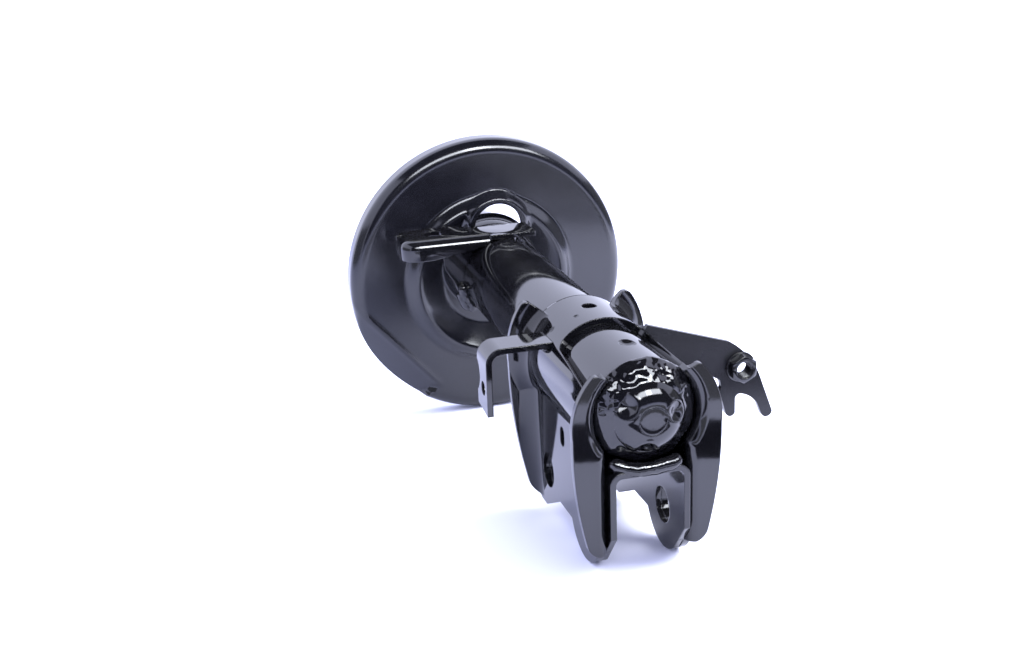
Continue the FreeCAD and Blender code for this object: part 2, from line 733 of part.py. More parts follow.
def weld_run_y(radius, y0, y1, x, z, others):
    run = rod_y(radius, y0, y1, x, z)
    for y in (y0, y1):
        run = run.fuse(Part.makeSphere(radius, vec(x, y, z)))
    for other in others:
        run = run.cut(other)
    return run


def make_hose_weld(others):
    z = hose_top - hose_sheet
    x = -math.sqrt(wrap_r ** 2 - z ** 2)
    run = weld_run_y(2.2, hose_near + 2.5, hose_near + hose_width - 2.5, x - 0.6, z - 0.8, others)
    return one(run)


# ---- fork bracket: flat plate with a fork-shaped lower edge
def make_fork_bracket():
    y0 = fork_y
    y1 = fork_y + fork_sheet
    top = polar(wrap_r - 1.0, 38.0)
    low = polar(wrap_r - 1.0, 84.0)
    # the outline's parts are placed from the nut
    left = nut_x - fork_left
    right = nut_x + fork_tip_out
    tine = fork_tine
    root = nut_z - fork_root
    tip_l = nut_z - fork_tip_left
    tip_r = nut_z - fork_tip_right
    cheek = fork_cheek
    edge = nut_z - fork_low
    plate = slab_y([
        top, (fork_top_x * 0.31, fork_top_z + fork_top_x * 0.223), (fork_top_x, fork_top_z),
        ("arc", (nut_x + cheek * 0.46, nut_z + cheek * 0.37), (nut_x + cheek, nut_z - cheek * 0.6)),
        (right, tip_r + tine * 0.5),
        ("arc", (right - tine * 0.3, tip_r), (right - tine * 1.05, tip_r + tine * 0.3)),
        (right - tine * 1.48, root - tine * 1.15),
        ("arc", (nut_x + cheek * 0.45, root - tine * 0.32), (nut_x + cheek * 0.05, root)),
        ("arc", (left + fork_left * 0.25, root - fork_left * 0.35), (left, root - fork_left)),
        (left, tip_l + tine * 0.3),
        ("arc", (left - tine * 0.5, tip_l), (left - tine * 0.9, tip_l + tine * 0.4)),
        (left - tine * 1.5, root + tine * 0.45), (left - tine * 1.37, root + tine * 0.95),
        (left - tine * 1.48, edge), (fork_top_x - tine * 1.8, edge + tine * 0.6), low], y0, y1)
    body = plate.cut(rod_y(wrap_r + 0.02, y0 - 1, y1 + 1))
    body = body.cut(rod_y(nut_collar / 2.0 + 0.05, y0 - 1, y1 + 1, nut_x, nut_z))
    return one(body)


def make_fork_weld(others):
    """Bead on the far side of the plate, in its corner with the wrap."""
    return one(weld_arc(2.3, wrap_r + 0.7, fork_y + fork_sheet + 0.4, 44, 80, others))


def make_weld_nut():
    y1 = fork_y
    y0 = y1 - nut_height
    nut = hex_y(nut_across, y0, y1, nut_x, nut_z)
    nut = nut.fuse(rod_y(nut_across * 0.62, y1 - 1.2, y1, nut_x, nut_z))
    nut = nut.fuse(rod_y(nut_collar / 2.0, y1, y1 + fork_sheet, nut_x, nut_z))
    bore = nut_bore / 2.0
    nut = nut.cut(rod_y(bore, y0 - 1, y1 + fork_sheet + 1, nut_x, nut_z))
    cone = Part.makeCone(thread_size / 2.0 + 0.2, bore, 0.7, vec(nut_x, y0, nut_z), vec(0, 1, 0))
    return one(nut.cut(cone))


# ---- rod
def make_piston_rod():
    stud_y = rod_end_y - stud_length
    groove = rod_r - stop_groove
    spigot = rod_spigot / 2.0
    stud = stud_diameter / 2.0
    root = stud_root / 2.0
    end = rod_end_y
    body = turned([
        (0, piston_nut_y - 2.0), (spigot - 1.0, piston_nut_y - 2.0), (spigot, piston_nut_y - 1.0),
        (spigot, shoulder_y), (rod_r, shoulder_y), (rod_r, stop_y), (groove, stop_y),
        (groove, stop_y + stop_depth), (rod_r, stop_y + stop_depth), (rod_r, stud_y - 2.0),
        (rod_r - 2.0, stud_y), (stud, stud_y), (stud, end - stud_thread),
        (root, end - stud_thread + 0.8), (stud, end - stud_thread + 1.6), (stud, end - 1.2),
        (stud - 1.2, end), (0, end)])
    return one(body.cut(hex_y(hex_socket, end - hex_depth, end + 1)))


def make_pressure_tube():
    return one(ring_y(pressure_r + pressure_wall, pressure_r, base_top_y(), guide_y))


def base_top_y():
    """Far face of the base valve's flange, where the pressure tube stands."""
    return base_seat_y() + base_skirt + base_flange


def base_seat_y():
    """Where the base valve's skirt meets the cap's cone."""
    run = (dome_radius - cap_sheet) - dome_flat
    rise = (-dome_foot + cap_sheet * 0.6) - cap_inner_top
    return cap_inner_top + rise * (base_skirt_r - dome_flat) / run + 0.02


def make_piston():
    edge = pressure_r - 0.4
    groove = pressure_r - run_gap - band_wall - run_gap
    mid = (piston_y + hub_y) / 2.0
    half = band_depth / 2.0 + band_float
    spigot = rod_spigot / 2.0 + run_gap * 0.4
    body = turned([
        (spigot, piston_y), (edge - 1.0, piston_y), (edge, piston_y + 1.0), (edge, mid - half),
        (groove, mid - half), (groove, mid + half), (edge, mid + half), (edge, hub_y),
        (spigot + 1.6, hub_y), (spigot + 1.6, shoulder_y), (spigot, shoulder_y)])
    for k in range(6):
        x, z = polar(11.0, 60.0 * k)
        body = body.cut(rod_y(1.5, piston_y - 1, hub_y + 1, x, z))
    return one(body)


def make_piston_band():
    mid = (piston_y + hub_y) / 2.0
    outer = pressure_r - run_gap
    return one(ring_y(outer, outer - band_wall, mid - band_depth / 2.0, mid + band_depth / 2.0))


def make_check_plate(inner, outer, y):
    return one(ring_y(outer, inner, y, y + check_plate))


def make_star_spring(inner, y_foot, y_hub, reach):
    """Thin ring with five sprung fingers that lean on the plate below."""
    t = 0.35
    hub = ring_y(inner + 1.8, inner, y_hub - t, y_hub)
    shape = hub
    for k in range(5):
        finger = slab_x([(y_hub, inner + 1.2), (y_foot + t, reach), (y_foot, reach),
                         (y_hub - t, inner + 1.2)], -1.3, 1.3)
        finger.rotate(vec(0, 0, 0), vec(0, 1, 0), 72.0 * k)
        shape = shape.fuse(finger)
    return one(shape)


def make_piston_shims():
    inner = rod_spigot / 2.0 + run_gap * 0.4
    step = shim_stack / 4.0
    shape = None
    for k in range(4):
        disc = ring_y(13.4 - 1.3 * k, inner, piston_y - step * (k + 1), piston_y - step * k)
        shape = disc if shape is None else shape.fuse(disc)
    return one(shape)


def make_piston_nut():
    nut = hex_y(piston_nut_across, piston_nut_y, shim_y)
    return one(nut.cut(rod_y(rod_spigot / 2.0 + run_gap * 0.4, piston_nut_y - 1, shim_y + 1)))


def make_rebound_stop():
    return one(ring_y(stop_outside / 2.0, rod_r - stop_groove + 0.02, stop_y, stop_y + stop_depth))


def make_rebound_bumper():
    outer = rod_r + bumper_wall
    return one(turned([
        (rod_r + 0.02, bumper_y), (outer, bumper_y), (outer, bumper_y + bumper_depth - 2.0),
        ("arc", (outer - 0.6, bumper_y + bumper_depth - 0.6),
         (outer - 2.0, bumper_y + bumper_depth)), (rod_r + 0.02, bumper_y + bumper_depth)]))


def make_rod_guide():
    bush_r = rod_r + run_gap + bush_wall
    outer = tube_bore_r - 0.05
    spigot = pressure_r - 0.05
    return one(turned([
        (bush_r, guide_face_y), (spigot, guide_face_y), (spigot, guide_y), (outer, guide_y),
        (outer, seal_y), (bush_r, seal_y)]))


def make_guide_bush():
    inner = rod_r + run_gap
    return one(ring_y(inner + bush_wall, inner, guide_face_y + 1.0, seal_y - 1.0))


def make_rod_seal():
    inner = rod_r + run_gap
    outer = tube_bore_r - 0.05
    return one(turned([
        (inner, seal_y + 1.2), (inner + 0.8, seal_y), (outer, seal_y), (outer, washer_y),
        (inner + 2.2, washer_y), (inner + 1.4, washer_y - 2.0), (inner, washer_y - 3.0)]))


def make_seal_washer():
    return one(ring_y(tube_bore_r - 0.05, rod_r + 2.0, washer_y, lip_inside_y))


# ---- base valve
def make_base_body():
    low = base_seat_y()
    flange_y = low + base_skirt
    top = base_top_y()
    skirt_out = base_skirt_r
    skirt_wall = 3.0
    spigot = pressure_r - 0.05
    bolt = base_bolt / 2.0 + 0.05
    body = turned([
        (bolt, flange_y), (skirt_out - skirt_wall, flange_y), (skirt_out - skirt_wall, low),
        (skirt_out, low), (skirt_out, flange_y), (pressure_r + pressure_wall, flange_y),
        (pressure_r + pressure_wall, top), (spigot, top), (spigot, top + base_spigot),
        (bolt + 2.0, top + base_spigot), (bolt + 2.0, top + base_spigot + hub_height),
        (bolt, top + base_spigot + hub_height)])
    for k in range(4):
        gap = Part.makeBox(6, base_skirt - 2.0, 60, vec(-3, low - 1.0, 0))
        gap.rotate(vec(0, 0, 0), vec(0, 1, 0), 45.0 + 90.0 * k)
        body = body.cut(gap)
    for k in range(6):
        x, z = polar(10.2, 60.0 * k)
        body = body.cut(rod_y(1.8, low, top + base_spigot + 1, x, z))
    return one(body)


def make_base_shims():
    y1 = base_seat_y() + base_skirt
    inner = base_bolt / 2.0 + 0.05
    lower = ring_y(8.2, inner, y1 - 0.6, y1)
    upper = ring_y(6.6, inner, y1 - 1.2, y1 - 0.6)
    return one(lower.fuse(upper))


def make_base_bolt():
    hub = base_top_y() + base_spigot + hub_height
    low = base_seat_y() + base_skirt - 1.2
    r = base_bolt / 2.0
    return one(turned([(0, low - 6.6), (r - 0.6, low - 6.6), (r, low - 6.0), (r, hub),
                       (7.0, hub), (7.0, hub + 2.2), (6.2, hub + 3.0), (0, hub + 3.0)]))


def make_base_nut():
    low = base_seat_y() + base_skirt - 1.2
    nut = hex_y(base_nut_across, low - 5.0, low)
    return one(nut.cut(rod_y(base_bolt / 2.0 + 0.02, low - 6, low + 1)))


# ---- lying angle: the line under the near lobe and the seat's rim is level
def place(shape):
    """Move the near bolt's axis to the origin and turn the strut to its lying angle."""
    out = shape.copy()
    out.translate(vec(0, -bolt_y, bolt_drop))
    out.rotate(vec(0, 0, 0), vec(1, 0, 0), stance)
    return out


near_y, near_z = bolt_y, -bolt_drop
far_y, far_z = seat_y + seat_edge, -seat_offset - seat_radius
reach = math.hypot(far_y - near_y, far_z - near_z)
slope = math.atan2(far_z - near_z, far_y - near_y)
stance = math.degrees(-slope - math.asin(lobe_radius / reach))

tube = make_outer_tube()
cap = make_end_cap()
cap_weld = make_end_cap_weld(cap, tube)
inner_bracket = make_inner_bracket()
outer_bracket = make_outer_bracket()
link = make_link_bracket()
hose = make_hose_bracket()
fork = make_fork_bracket()
nut = make_weld_nut()
top_of_base = base_top_y() + base_spigot
plate_in = base_bolt / 2.0 + 2.05 + run_gap
piston_plate_in = rod_spigot / 2.0 + run_gap * 0.4 + 1.6 + run_gap

nodes = {
    "outer_tube": tube,
    "end_cap": cap,
    "end_cap_weld": cap_weld,
    "knuckle_bracket_outer": outer_bracket,
    "knuckle_bracket_inner": inner_bracket,
    "knuckle_weld": make_knuckle_weld((tube, cap, cap_weld, inner_bracket, outer_bracket)),
    "spring_seat": make_spring_seat(),
    "seat_weld": make_seat_weld(),
    "link_bracket": link,
    "link_bracket_weld": make_link_weld((link, tube)),
    "hose_bracket": hose,
    "hose_bracket_weld": make_hose_weld((hose, outer_bracket)),
    "fork_bracket": fork,
    "fork_bracket_weld": make_fork_weld((fork, outer_bracket)),
    "weld_nut": nut,
    "piston_rod": make_piston_rod(),
    "pressure_tube": make_pressure_tube(),
    "piston": make_piston(),
    "piston_band": make_piston_band(),
    "piston_check_plate": make_check_plate(piston_plate_in, 14.4, hub_y + 0.02),
    "piston_check_spring": make_star_spring(piston_plate_in, hub_y + 0.02 + check_plate + 0.02,
                                            shoulder_y - 0.02, 12.0),
    "piston_shims": make_piston_shims(),
    "piston_nut": make_piston_nut(),
    "rebound_stop": make_rebound_stop(),
    "rebound_bumper": make_rebound_bumper(),
    "rod_guide": make_rod_guide(),
    "guide_bush": make_guide_bush(),
    "rod_seal": make_rod_seal(),
    "seal_washer": make_seal_washer(),
    "base_valve_body": make_base_body(),
    "base_intake_plate": make_check_plate(plate_in, 14.2, top_of_base + 0.02),
    "base_intake_spring": make_star_spring(plate_in, top_of_base + 0.04 + check_plate,
                                           top_of_base + hub_height - 0.02, 6.9),
    "base_valve_shims": make_base_shims(),
    "base_valve_bolt": make_base_bolt(),
    "base_valve_nut": make_base_nut(),
}

for name, shape in nodes.items():
    placed = place(shape)
    placed.exportStep("parts/" + name + ".step")
    box = placed.BoundBox
    print("%-24s solids %d valid %s volume %9.1f  box %s" % (
        name, len(placed.Solids), placed.isValid(), placed.Volume,
        [round(v, 1) for v in (box.XMin, box.XMax, box.YMin, box.YMax, box.ZMin, box.ZMax)]))
print("lying angle", round(stance, 3))
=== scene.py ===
# %% [markdown]
# # A suspension strut, lying on its side
#
# The solids come from the imported model. This lesson gives them their looks: black
# electrocoat over pressed steel, lumpy weld beads, a threaded chromed rod, and the plainer
# metals and rubbers inside the tube. First the frame is loaded and its size is kept.

# %% Load the frame
import bpy
import bmesh
import json
import math
from mathutils import Matrix, Vector, noise


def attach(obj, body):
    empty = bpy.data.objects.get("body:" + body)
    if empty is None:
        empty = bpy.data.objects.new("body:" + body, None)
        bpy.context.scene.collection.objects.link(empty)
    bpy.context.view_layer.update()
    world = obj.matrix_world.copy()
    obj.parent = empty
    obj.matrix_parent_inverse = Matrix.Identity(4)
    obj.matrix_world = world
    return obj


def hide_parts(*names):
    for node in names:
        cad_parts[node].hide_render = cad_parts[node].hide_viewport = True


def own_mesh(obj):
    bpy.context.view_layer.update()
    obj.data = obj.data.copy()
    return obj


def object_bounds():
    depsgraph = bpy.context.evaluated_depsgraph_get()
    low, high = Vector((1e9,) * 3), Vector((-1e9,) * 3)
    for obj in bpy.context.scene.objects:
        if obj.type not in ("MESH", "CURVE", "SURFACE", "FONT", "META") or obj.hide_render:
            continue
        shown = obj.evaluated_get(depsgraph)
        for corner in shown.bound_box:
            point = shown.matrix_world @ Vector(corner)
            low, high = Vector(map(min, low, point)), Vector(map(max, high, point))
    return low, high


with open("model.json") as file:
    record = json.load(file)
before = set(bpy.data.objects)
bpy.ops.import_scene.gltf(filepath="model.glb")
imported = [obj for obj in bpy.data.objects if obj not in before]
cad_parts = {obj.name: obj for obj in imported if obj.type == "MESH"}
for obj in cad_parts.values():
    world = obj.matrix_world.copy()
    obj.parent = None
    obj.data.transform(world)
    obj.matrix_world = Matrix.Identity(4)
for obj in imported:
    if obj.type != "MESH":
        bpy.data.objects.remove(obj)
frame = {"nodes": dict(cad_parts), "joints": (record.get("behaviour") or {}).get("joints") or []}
NODES = frame["nodes"]
cad_low, cad_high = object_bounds()
print("solids' box, in mm:", [round((b - a) * 1000, 1) for a, b in zip(cad_low, cad_high)])

# %% [markdown]
# ## The strut's own directions
#
# The strut lies on the lobes of its knuckle ears and on the rim of its seat, so its axis
# climbs a little towards the rod. Every piece made here is drawn along the strut first, in
# millimetres: X across the ears, Y from the cap to the rod, Z up. It is turned to the lying
# angle once. The angle is read from the rod's joint, so it can't drift away from the solids.

# %% Strut directions and the move from the strut to the floor
slide = next(j for j in frame["joints"] if j["name"] == "rod_slide")
along = -Vector(slide["axis"])
LYING = math.atan2(along.z, along.y)
BOLT_Y = 17.7           # the near knuckle bolt, along the strut from the tube's end, mm
BOLT_DROP = 57.4        # and below the strut's axis, mm
TURN = Matrix.Rotation(LYING, 4, "X")
TO_ROW = TURN @ Matrix.Scale(0.001, 4) @ Matrix.Translation((0.0, -BOLT_Y, BOLT_DROP))
FORWARD = TURN @ Vector((0.0, 1.0, 0.0))
print("lying angle, in degrees:", round(math.degrees(LYING), 3))

# %% [markdown]
# ## Floor and room
#
# A black gloss part shows its surroundings more than its own colour. A product table gives
# it a white floor and pale walls, so every face that looks down or sideways turns a pale
# lavender grey, and only the faces that look into the dark part of the room stay black.

# %% Floor
FLOOR_Z = cad_low.z - 0.0002        # a hair under the strut, so that the two never mix
bpy.ops.mesh.primitive_plane_add(size=16.0, location=(0.0, 2.0, FLOOR_Z))
floor = bpy.context.object
floor.name = "floor"
floor_paint = bpy.data.materials.new("floor_white")
floor_paint.use_nodes = True
shader = floor_paint.node_tree.nodes["Principled BSDF"]
shader.inputs["Base Color"].default_value = (0.80, 0.82, 0.98, 1.0)
shader.inputs["Roughness"].default_value = 0.9
shader.inputs["Specular IOR Level"].default_value = 0.0
floor.data.materials.append(floor_paint)
print("floor laid at z, in mm:", round(FLOOR_Z * 1000, 2))

# %% Room light
world = bpy.data.worlds.new("pale_room")
world.use_nodes = True
bpy.context.scene.world = world
room = world.node_tree.nodes["Background"]
room.inputs["Color"].default_value = (0.74, 0.77, 1.0, 1.0)
room.inputs["Strength"].default_value = 2.45
print("pale room lit")

# %% [markdown]
# ## Cards
#
# A card is a flat sheet that only reflections see. Dark ones stand for the unlit room behind
# the camera and for its ceiling. A dark strip and a dim sheet on the table set what the cap
# and the ears mirror from below, and two grey side walls give the chrome an edge to show.
# Two bright ones hang behind the camera and draw the long highlights on the tube and the
# rims. One soft lamp from the side lights the table and is never mirrored.


# %% Cards and soft light
def card(name, centre, facing, width, height, colour, strength, spin):
    """A flat sheet that only reflections see: a dark one or a bright one."""
    bpy.ops.mesh.primitive_plane_add(size=1.0)
    sheet = bpy.context.object
    sheet.name = name
    turn = Vector(facing).to_track_quat("Z", "Y").to_matrix().to_4x4()
    size = Matrix.Diagonal((width, height, 1.0, 1.0))
    sheet.data.transform(Matrix.Translation(centre) @ turn
                         @ Matrix.Rotation(math.radians(spin), 4, "Z") @ size)
    paint = bpy.data.materials.new(name)
    paint.use_nodes = True
    nodes = paint.node_tree.nodes
    nodes.clear()
    glow = nodes.new("ShaderNodeEmission")
    glow.inputs["Color"].default_value = (*colour, 1.0)
    glow.inputs["Strength"].default_value = strength
    out = nodes.new("ShaderNodeOutputMaterial")
    paint.node_tree.links.new(glow.outputs[0], out.inputs["Surface"])
    sheet.data.materials.append(paint)
    sheet.visible_camera = False
    sheet.visible_diffuse = False
    sheet.visible_shadow = False
    sheet.visible_transmission = False


UP, DOWN, AHEAD = (0.0, 0.0, 1.0), (0.0, 0.0, -1.0), (0.0, 1.0, 0.0)
DIM = (0.02, 0.02, 0.025)
WALL_GREY = (0.6, 0.62, 0.72)
STRIP_Z = cad_low.z + 0.0004
SHEET_Z = cad_low.z + 0.0003
ASKEW = 13.6            # degrees by which the strip and the sheet are turned on the table
# name, centre, facing, width, height, colour, strength, turn
CARDS = (
    ("dark_room", (0.3, -1.75, 1.2), AHEAD, 5.6, 2.4, DIM, 0.5, 0.0),
    ("dark_strip", (0.02, -0.1525, STRIP_Z), UP, 0.55, 0.047, DIM, 0.4, ASKEW),
    ("dim_table", (0.05, -0.34, SHEET_Z), UP, 1.0, 0.28, (0.82, 0.85, 1.0), 0.8, ASKEW),
    ("dark_ceiling", (0.0, -0.3, 1.6), DOWN, 2.4, 2.2, DIM, 1.0, 0.0),
    ("side_wall", (-2.3, 0.3, 0.42), (1.0, 0.0, 0.0), 3.0, 0.9, WALL_GREY, 0.6, 0.0),
    ("side_wall", (2.3, 0.3, 0.42), (-1.0, 0.0, 0.0), 3.0, 0.9, WALL_GREY, 0.6, 0.0),
    ("long_light", (0.30, -1.5, 1.2), (-0.15, 0.8, -0.6), 2.2, 0.62, (0.87, 0.91, 1.0), 16.0,
     0.0),
    ("bright_light", (0.38, -1.45, 1.2), (-0.2, 0.8, -0.6), 0.34, 0.56, (0.90, 0.93, 1.0), 40.0,
     0.0))
for values in CARDS:
    card(*values)
lamp_place = Vector((0.75, -0.05, 0.78))
lamp_back = Vector((0.75, -0.12, 0.78))         # the lamp's back points along this
lamp = bpy.data.objects.new("side_light", bpy.data.lights.new("side_light", "AREA"))
lamp.data.shape = "SQUARE"
lamp.data.size = 0.9
lamp.data.energy = 31.0
lamp.matrix_world = (Matrix.Translation(lamp_place)
                     @ lamp_back.to_track_quat("Z", "Y").to_matrix().to_4x4())
lamp.visible_glossy = False
bpy.context.scene.collection.objects.link(lamp)
print("cards and light hung")

# %% [markdown]
# ## Camera
#
# The camera looks from the capped end, a little from the left and from above. Its place and
# directions are written in the strut's own frame, in millimetres, and go through the same
# turn as every piece, so the view stays with the strut.

# %% Camera
CAMERA_PLACE = Vector((-212.584, -554.575, 239.523))
camera = bpy.data.objects.new("camera", bpy.data.cameras.new("camera"))
camera.data.sensor_width = 36.0
camera.data.lens = 49.22
camera.data.clip_end = 50.0
view_right = TURN @ Vector((0.960558, -0.275916, -0.034625))
view_up = TURN @ Vector((0.118334, 0.292895, 0.948794))
view_back = view_right.cross(view_up)
look = Matrix((view_right, view_up, view_back)).transposed().to_4x4()
camera.matrix_world = Matrix.Translation(TO_ROW @ CAMERA_PLACE) @ look
bpy.context.scene.collection.objects.link(camera)
bpy.context.scene.camera = camera
bpy.context.scene.view_settings.view_transform = "Standard"
print("camera at, in m:", [round(v, 4) for v in camera.matrix_world.translation])

# %% [markdown]
# ## Node trees as plain Python
#
# A finish or a Geometry Nodes shape is mostly arithmetic on a few patterns. `Wire` holds one
# socket and turns Python's operators into Math nodes, so a mask reads as a formula. `Graph`
# makes every other node from its type, its settings and its inputs, for both kinds of tree.


# %% Wire and Graph
class Wire:
    """One socket that takes part in sums as a number does."""

    def __init__(self, graph, socket):
        self.graph = graph
        self.socket = socket

    def maths(self, operation, *others):
        return self.graph.node("ShaderNodeMath", {"operation": operation},
                               dict(enumerate((self,) + others)))

    def swapped(self, operation, other):
        return self.graph.node("ShaderNodeMath", {"operation": operation}, {0: other, 1: self})

    def __add__(self, other):
        return self.maths("ADD", other)

    def __sub__(self, other):
        return self.maths("SUBTRACT", other)

    def __mul__(self, other):
        return self.maths("MULTIPLY", other)

    def __truediv__(self, other):
        return self.maths("DIVIDE", other)

    def __pow__(self, other):
        return self.maths("POWER", other)

    def __radd__(self, other):
        return self.swapped("ADD", other)

    def __rsub__(self, other):
        return self.swapped("SUBTRACT", other)

    def __rmul__(self, other):
        return self.swapped("MULTIPLY", other)

    def step(self, low, high):
        """0 below low, 1 above high, smooth between them."""
        return self.graph.node("ShaderNodeMapRange", {"interpolation_type": "SMOOTHSTEP"},
                               {"Value": self, "From Min": low, "From Max": high})


class Graph:
    """A node tree that is written one node at a time."""

    def __init__(self, tree):
        self.tree = tree

    def node(self, kind, settings=None, inputs=None, output=0):
        """A new node: its settings first, then its inputs; gives back one output."""
        made = self.tree.nodes.new(kind)
        for key, value in (settings or {}).items():
            if key == "captures":
                for name in value:
                    made.capture_items.new("FLOAT", name)
            else:
                setattr(made, key, value)
        for key, value in (inputs or {}).items():
            if isinstance(value, Wire):
                value = value.socket
            if isinstance(value, bpy.types.NodeSocket):
                self.tree.links.new(value, made.inputs[key])
            else:
                made.inputs[key].default_value = value
        return Wire(self, made.outputs[output])


class Finish(Graph):
    """A material whose patterns are fixed to the piece by its object coordinates."""

    def __init__(self, name):
        self.material = bpy.data.materials.new(name)
        self.material.use_nodes = True
        super().__init__(self.material.node_tree)
        self.shader = self.tree.nodes["Principled BSDF"]
        self.place = self.tree.nodes.new("ShaderNodeTexCoord").outputs["Object"]

    def noise(self, scale, detail=2.0, rough=0.5, stretch=None):
        place = self.place
        if stretch:
            place = self.node("ShaderNodeMapping", {}, {
                "Vector": place, "Rotation": (-LYING, 0.0, 0.0)})
            place = self.node("ShaderNodeMapping", {}, {"Vector": place, "Scale": stretch})
        return self.node("ShaderNodeTexNoise", {}, {"Vector": place, "Scale": scale,
                                                    "Detail": detail, "Roughness": rough})

    def blend(self, factor, first, second):
        """A colour between two colours."""
        made = self.tree.nodes.new("ShaderNodeMix")
        made.data_type = "RGBA"
        for socket, value in ((made.inputs[0], factor), (made.inputs[6], first),
                              (made.inputs[7], second)):
            if isinstance(value, Wire):
                self.tree.links.new(value.socket, socket)
            else:
                socket.default_value = value
        return Wire(self, made.outputs[2])

    def feed(self, name, value):
        if isinstance(value, Wire):
            self.tree.links.new(value.socket, self.shader.inputs[name])
        else:
            self.shader.inputs[name].default_value = value

    def relief(self, height, edge=0.0004):
        """Bump from a height in millimetres, over edges rounded by a paint's thickness."""
        rounded = self.node("ShaderNodeBevel", {"samples": 4}, {"Radius": edge})
        bump = self.node("ShaderNodeBump", {}, {"Strength": 1.0, "Distance": 0.001,
                                                "Height": height, "Normal": rounded})
        self.feed("Normal", bump)


print("node helpers ready")

# %% [markdown]
# ## Black electrocoat
#
# The pressed parts and their welds are dipped and coated in one go: a thin, even black film
# with a high gloss. Up close it has a faint orange peel, the grain of the rolled steel under
# it, and dust that settles on faces that look up. One recipe with a few numbers serves every
# coated piece, so the tube, the ears and the seat differ only as they do on the real strut.
# The paint draws round a sheared edge, which the rounded normals stand for.


# %% The coating
DUST = (0.19, 0.19, 0.20, 1.0)


def coating(name, colour, rough, peel, grain=0.0, dust=0.2, edge=0.0006, ripple=0.0):
    """Gloss paint; peel, grain and ripple are heights in mm, edge is a radius in metres."""
    f = Finish(name)
    broad = f.noise(35.0, 3.0)
    fine = f.noise(900.0, 2.0)
    speck = f.noise(2600.0, 1.0)
    up = f.node("ShaderNodeSeparateXYZ", {}, {
        0: f.tree.nodes.new("ShaderNodeNewGeometry").outputs["Normal"]}, 2)
    settled = up.step(0.35, 1.0) * speck.step(0.62, 0.74) * broad.step(0.35, 0.7) * dust
    dark = tuple(c * 0.72 for c in colour) + (1.0,)
    light = tuple(c * 1.25 for c in colour) + (1.0,)
    base = f.blend(broad.step(0.3, 0.7), dark, light)
    f.feed("Base Color", f.blend(settled, base, DUST))
    f.feed("Roughness", rough + (broad - 0.5) * (rough * 0.5) + settled * 0.4
           + fine.step(0.6, 0.8) * 0.03)
    f.shader.inputs["IOR"].default_value = 1.55
    height = f.noise(210.0, 2.0, 0.4) * peel + fine * (peel * 0.10) + speck * grain
    if ripple:
        height = height + f.noise(420.0, 3.0, 0.6) * ripple
    f.relief(height, edge)
    return f.material


DEEP = (0.0040, 0.0040, 0.0048)
gloss_black = coating("gloss_black_coat", DEEP, 0.06, 0.008, edge=0.0009)
tube_black = coating("tube_black_coat", DEEP, 0.045, 0.005)
seat_black = coating("seat_black_coat", (0.0050, 0.0052, 0.0070), 0.15, 0.006, 0.0015)
fork_black = coating("bracket_black_coat", (0.008, 0.008, 0.0095), 0.20, 0.010, 0.008)
fork_black.node_tree.nodes["Principled BSDF"].inputs["Specular IOR Level"].default_value = 0.28
weld_black = coating("weld_black_coat", DEEP, 0.045, 0.012, ripple=0.03, edge=0.0003)
coats = (gloss_black, tube_black, seat_black, fork_black, weld_black)
print("coatings:", [m.name for m in coats])

# %% [markdown]
# ## Metals inside the tube and on the rod
#
# The rod is ground and chromed, so fine rings run round it. Turned parts keep the tool's
# rings too, but coarser, and a film of oil darkens them. Sintered parts are pressed from
# powder: no rings, small open pores. Stretching a noise along one direction of the strut
# makes rings or drawn lines; squeezing it makes pores.


# %% Metal recipes
PORE = (0.03, 0.03, 0.03, 1.0)


def metal(name, light, dark, rough, ring=0.0, drawn=0.0, pores=0.0, oil=0.5, coat=0.0):
    """Bare metal, light where it is dry and dark under its film of oil."""
    f = Finish(name)
    stain = f.noise(60.0, 4.0, 0.6)
    rings = f.noise(1.0, 3.0, 0.7, (60.0, 5200.0, 60.0))
    lines = f.noise(1.0, 3.0, 0.7, (2600.0, 50.0, 2600.0))
    grains = f.noise(3800.0, 2.0, 0.6)
    pits = grains.step(0.60, 0.72) * pores
    film = stain.step(0.42, 0.66) * oil
    base = f.blend(film, (*light, 1.0), (*dark, 1.0))
    f.feed("Base Color", f.blend(pits, base, PORE))
    f.feed("Metallic", 1.0 - pits * 0.5)
    f.feed("Roughness", rough + (rings - 0.5) * (ring * 2.0) + (lines - 0.5) * (drawn * 2.0)
           - film * (rough * 0.35) + pits * 0.3)
    f.shader.inputs["Coat Weight"].default_value = coat
    f.shader.inputs["Coat Roughness"].default_value = 0.08
    f.relief(rings * (ring * 0.02) + lines * (drawn * 0.02) - pits * 0.02 + grains * 0.001,
             0.0002)
    return f.material


rod_chrome = metal("ground_chrome", (0.46, 0.47, 0.50), (0.34, 0.34, 0.36), 0.07, ring=0.05,
                   oil=0.35)
thread_steel = metal("rolled_thread_steel", (0.40, 0.40, 0.41), (0.22, 0.21, 0.19), 0.26,
                     ring=0.05, oil=0.8, coat=0.3)
turned_steel = metal("turned_oiled_steel", (0.45, 0.45, 0.46), (0.24, 0.22, 0.19), 0.24,
                     ring=0.12, oil=0.7, coat=0.4)
drawn_steel = metal("drawn_tube_steel", (0.42, 0.42, 0.43), (0.23, 0.21, 0.18), 0.22,
                    drawn=0.12, oil=0.7, coat=0.4)
sintered_steel = metal("sintered_iron", (0.27, 0.27, 0.27), (0.15, 0.14, 0.12), 0.42,
                       pores=1.0, oil=0.6, coat=0.3)
spring_steel = metal("blued_spring_steel", (0.30, 0.32, 0.38), (0.19, 0.18, 0.20), 0.20,
                     drawn=0.08, oil=0.7, coat=0.4)
bronze = metal("rolled_bronze", (0.55, 0.33, 0.14), (0.34, 0.19, 0.08), 0.30, pores=0.5,
               drawn=0.08, oil=0.6, coat=0.3)
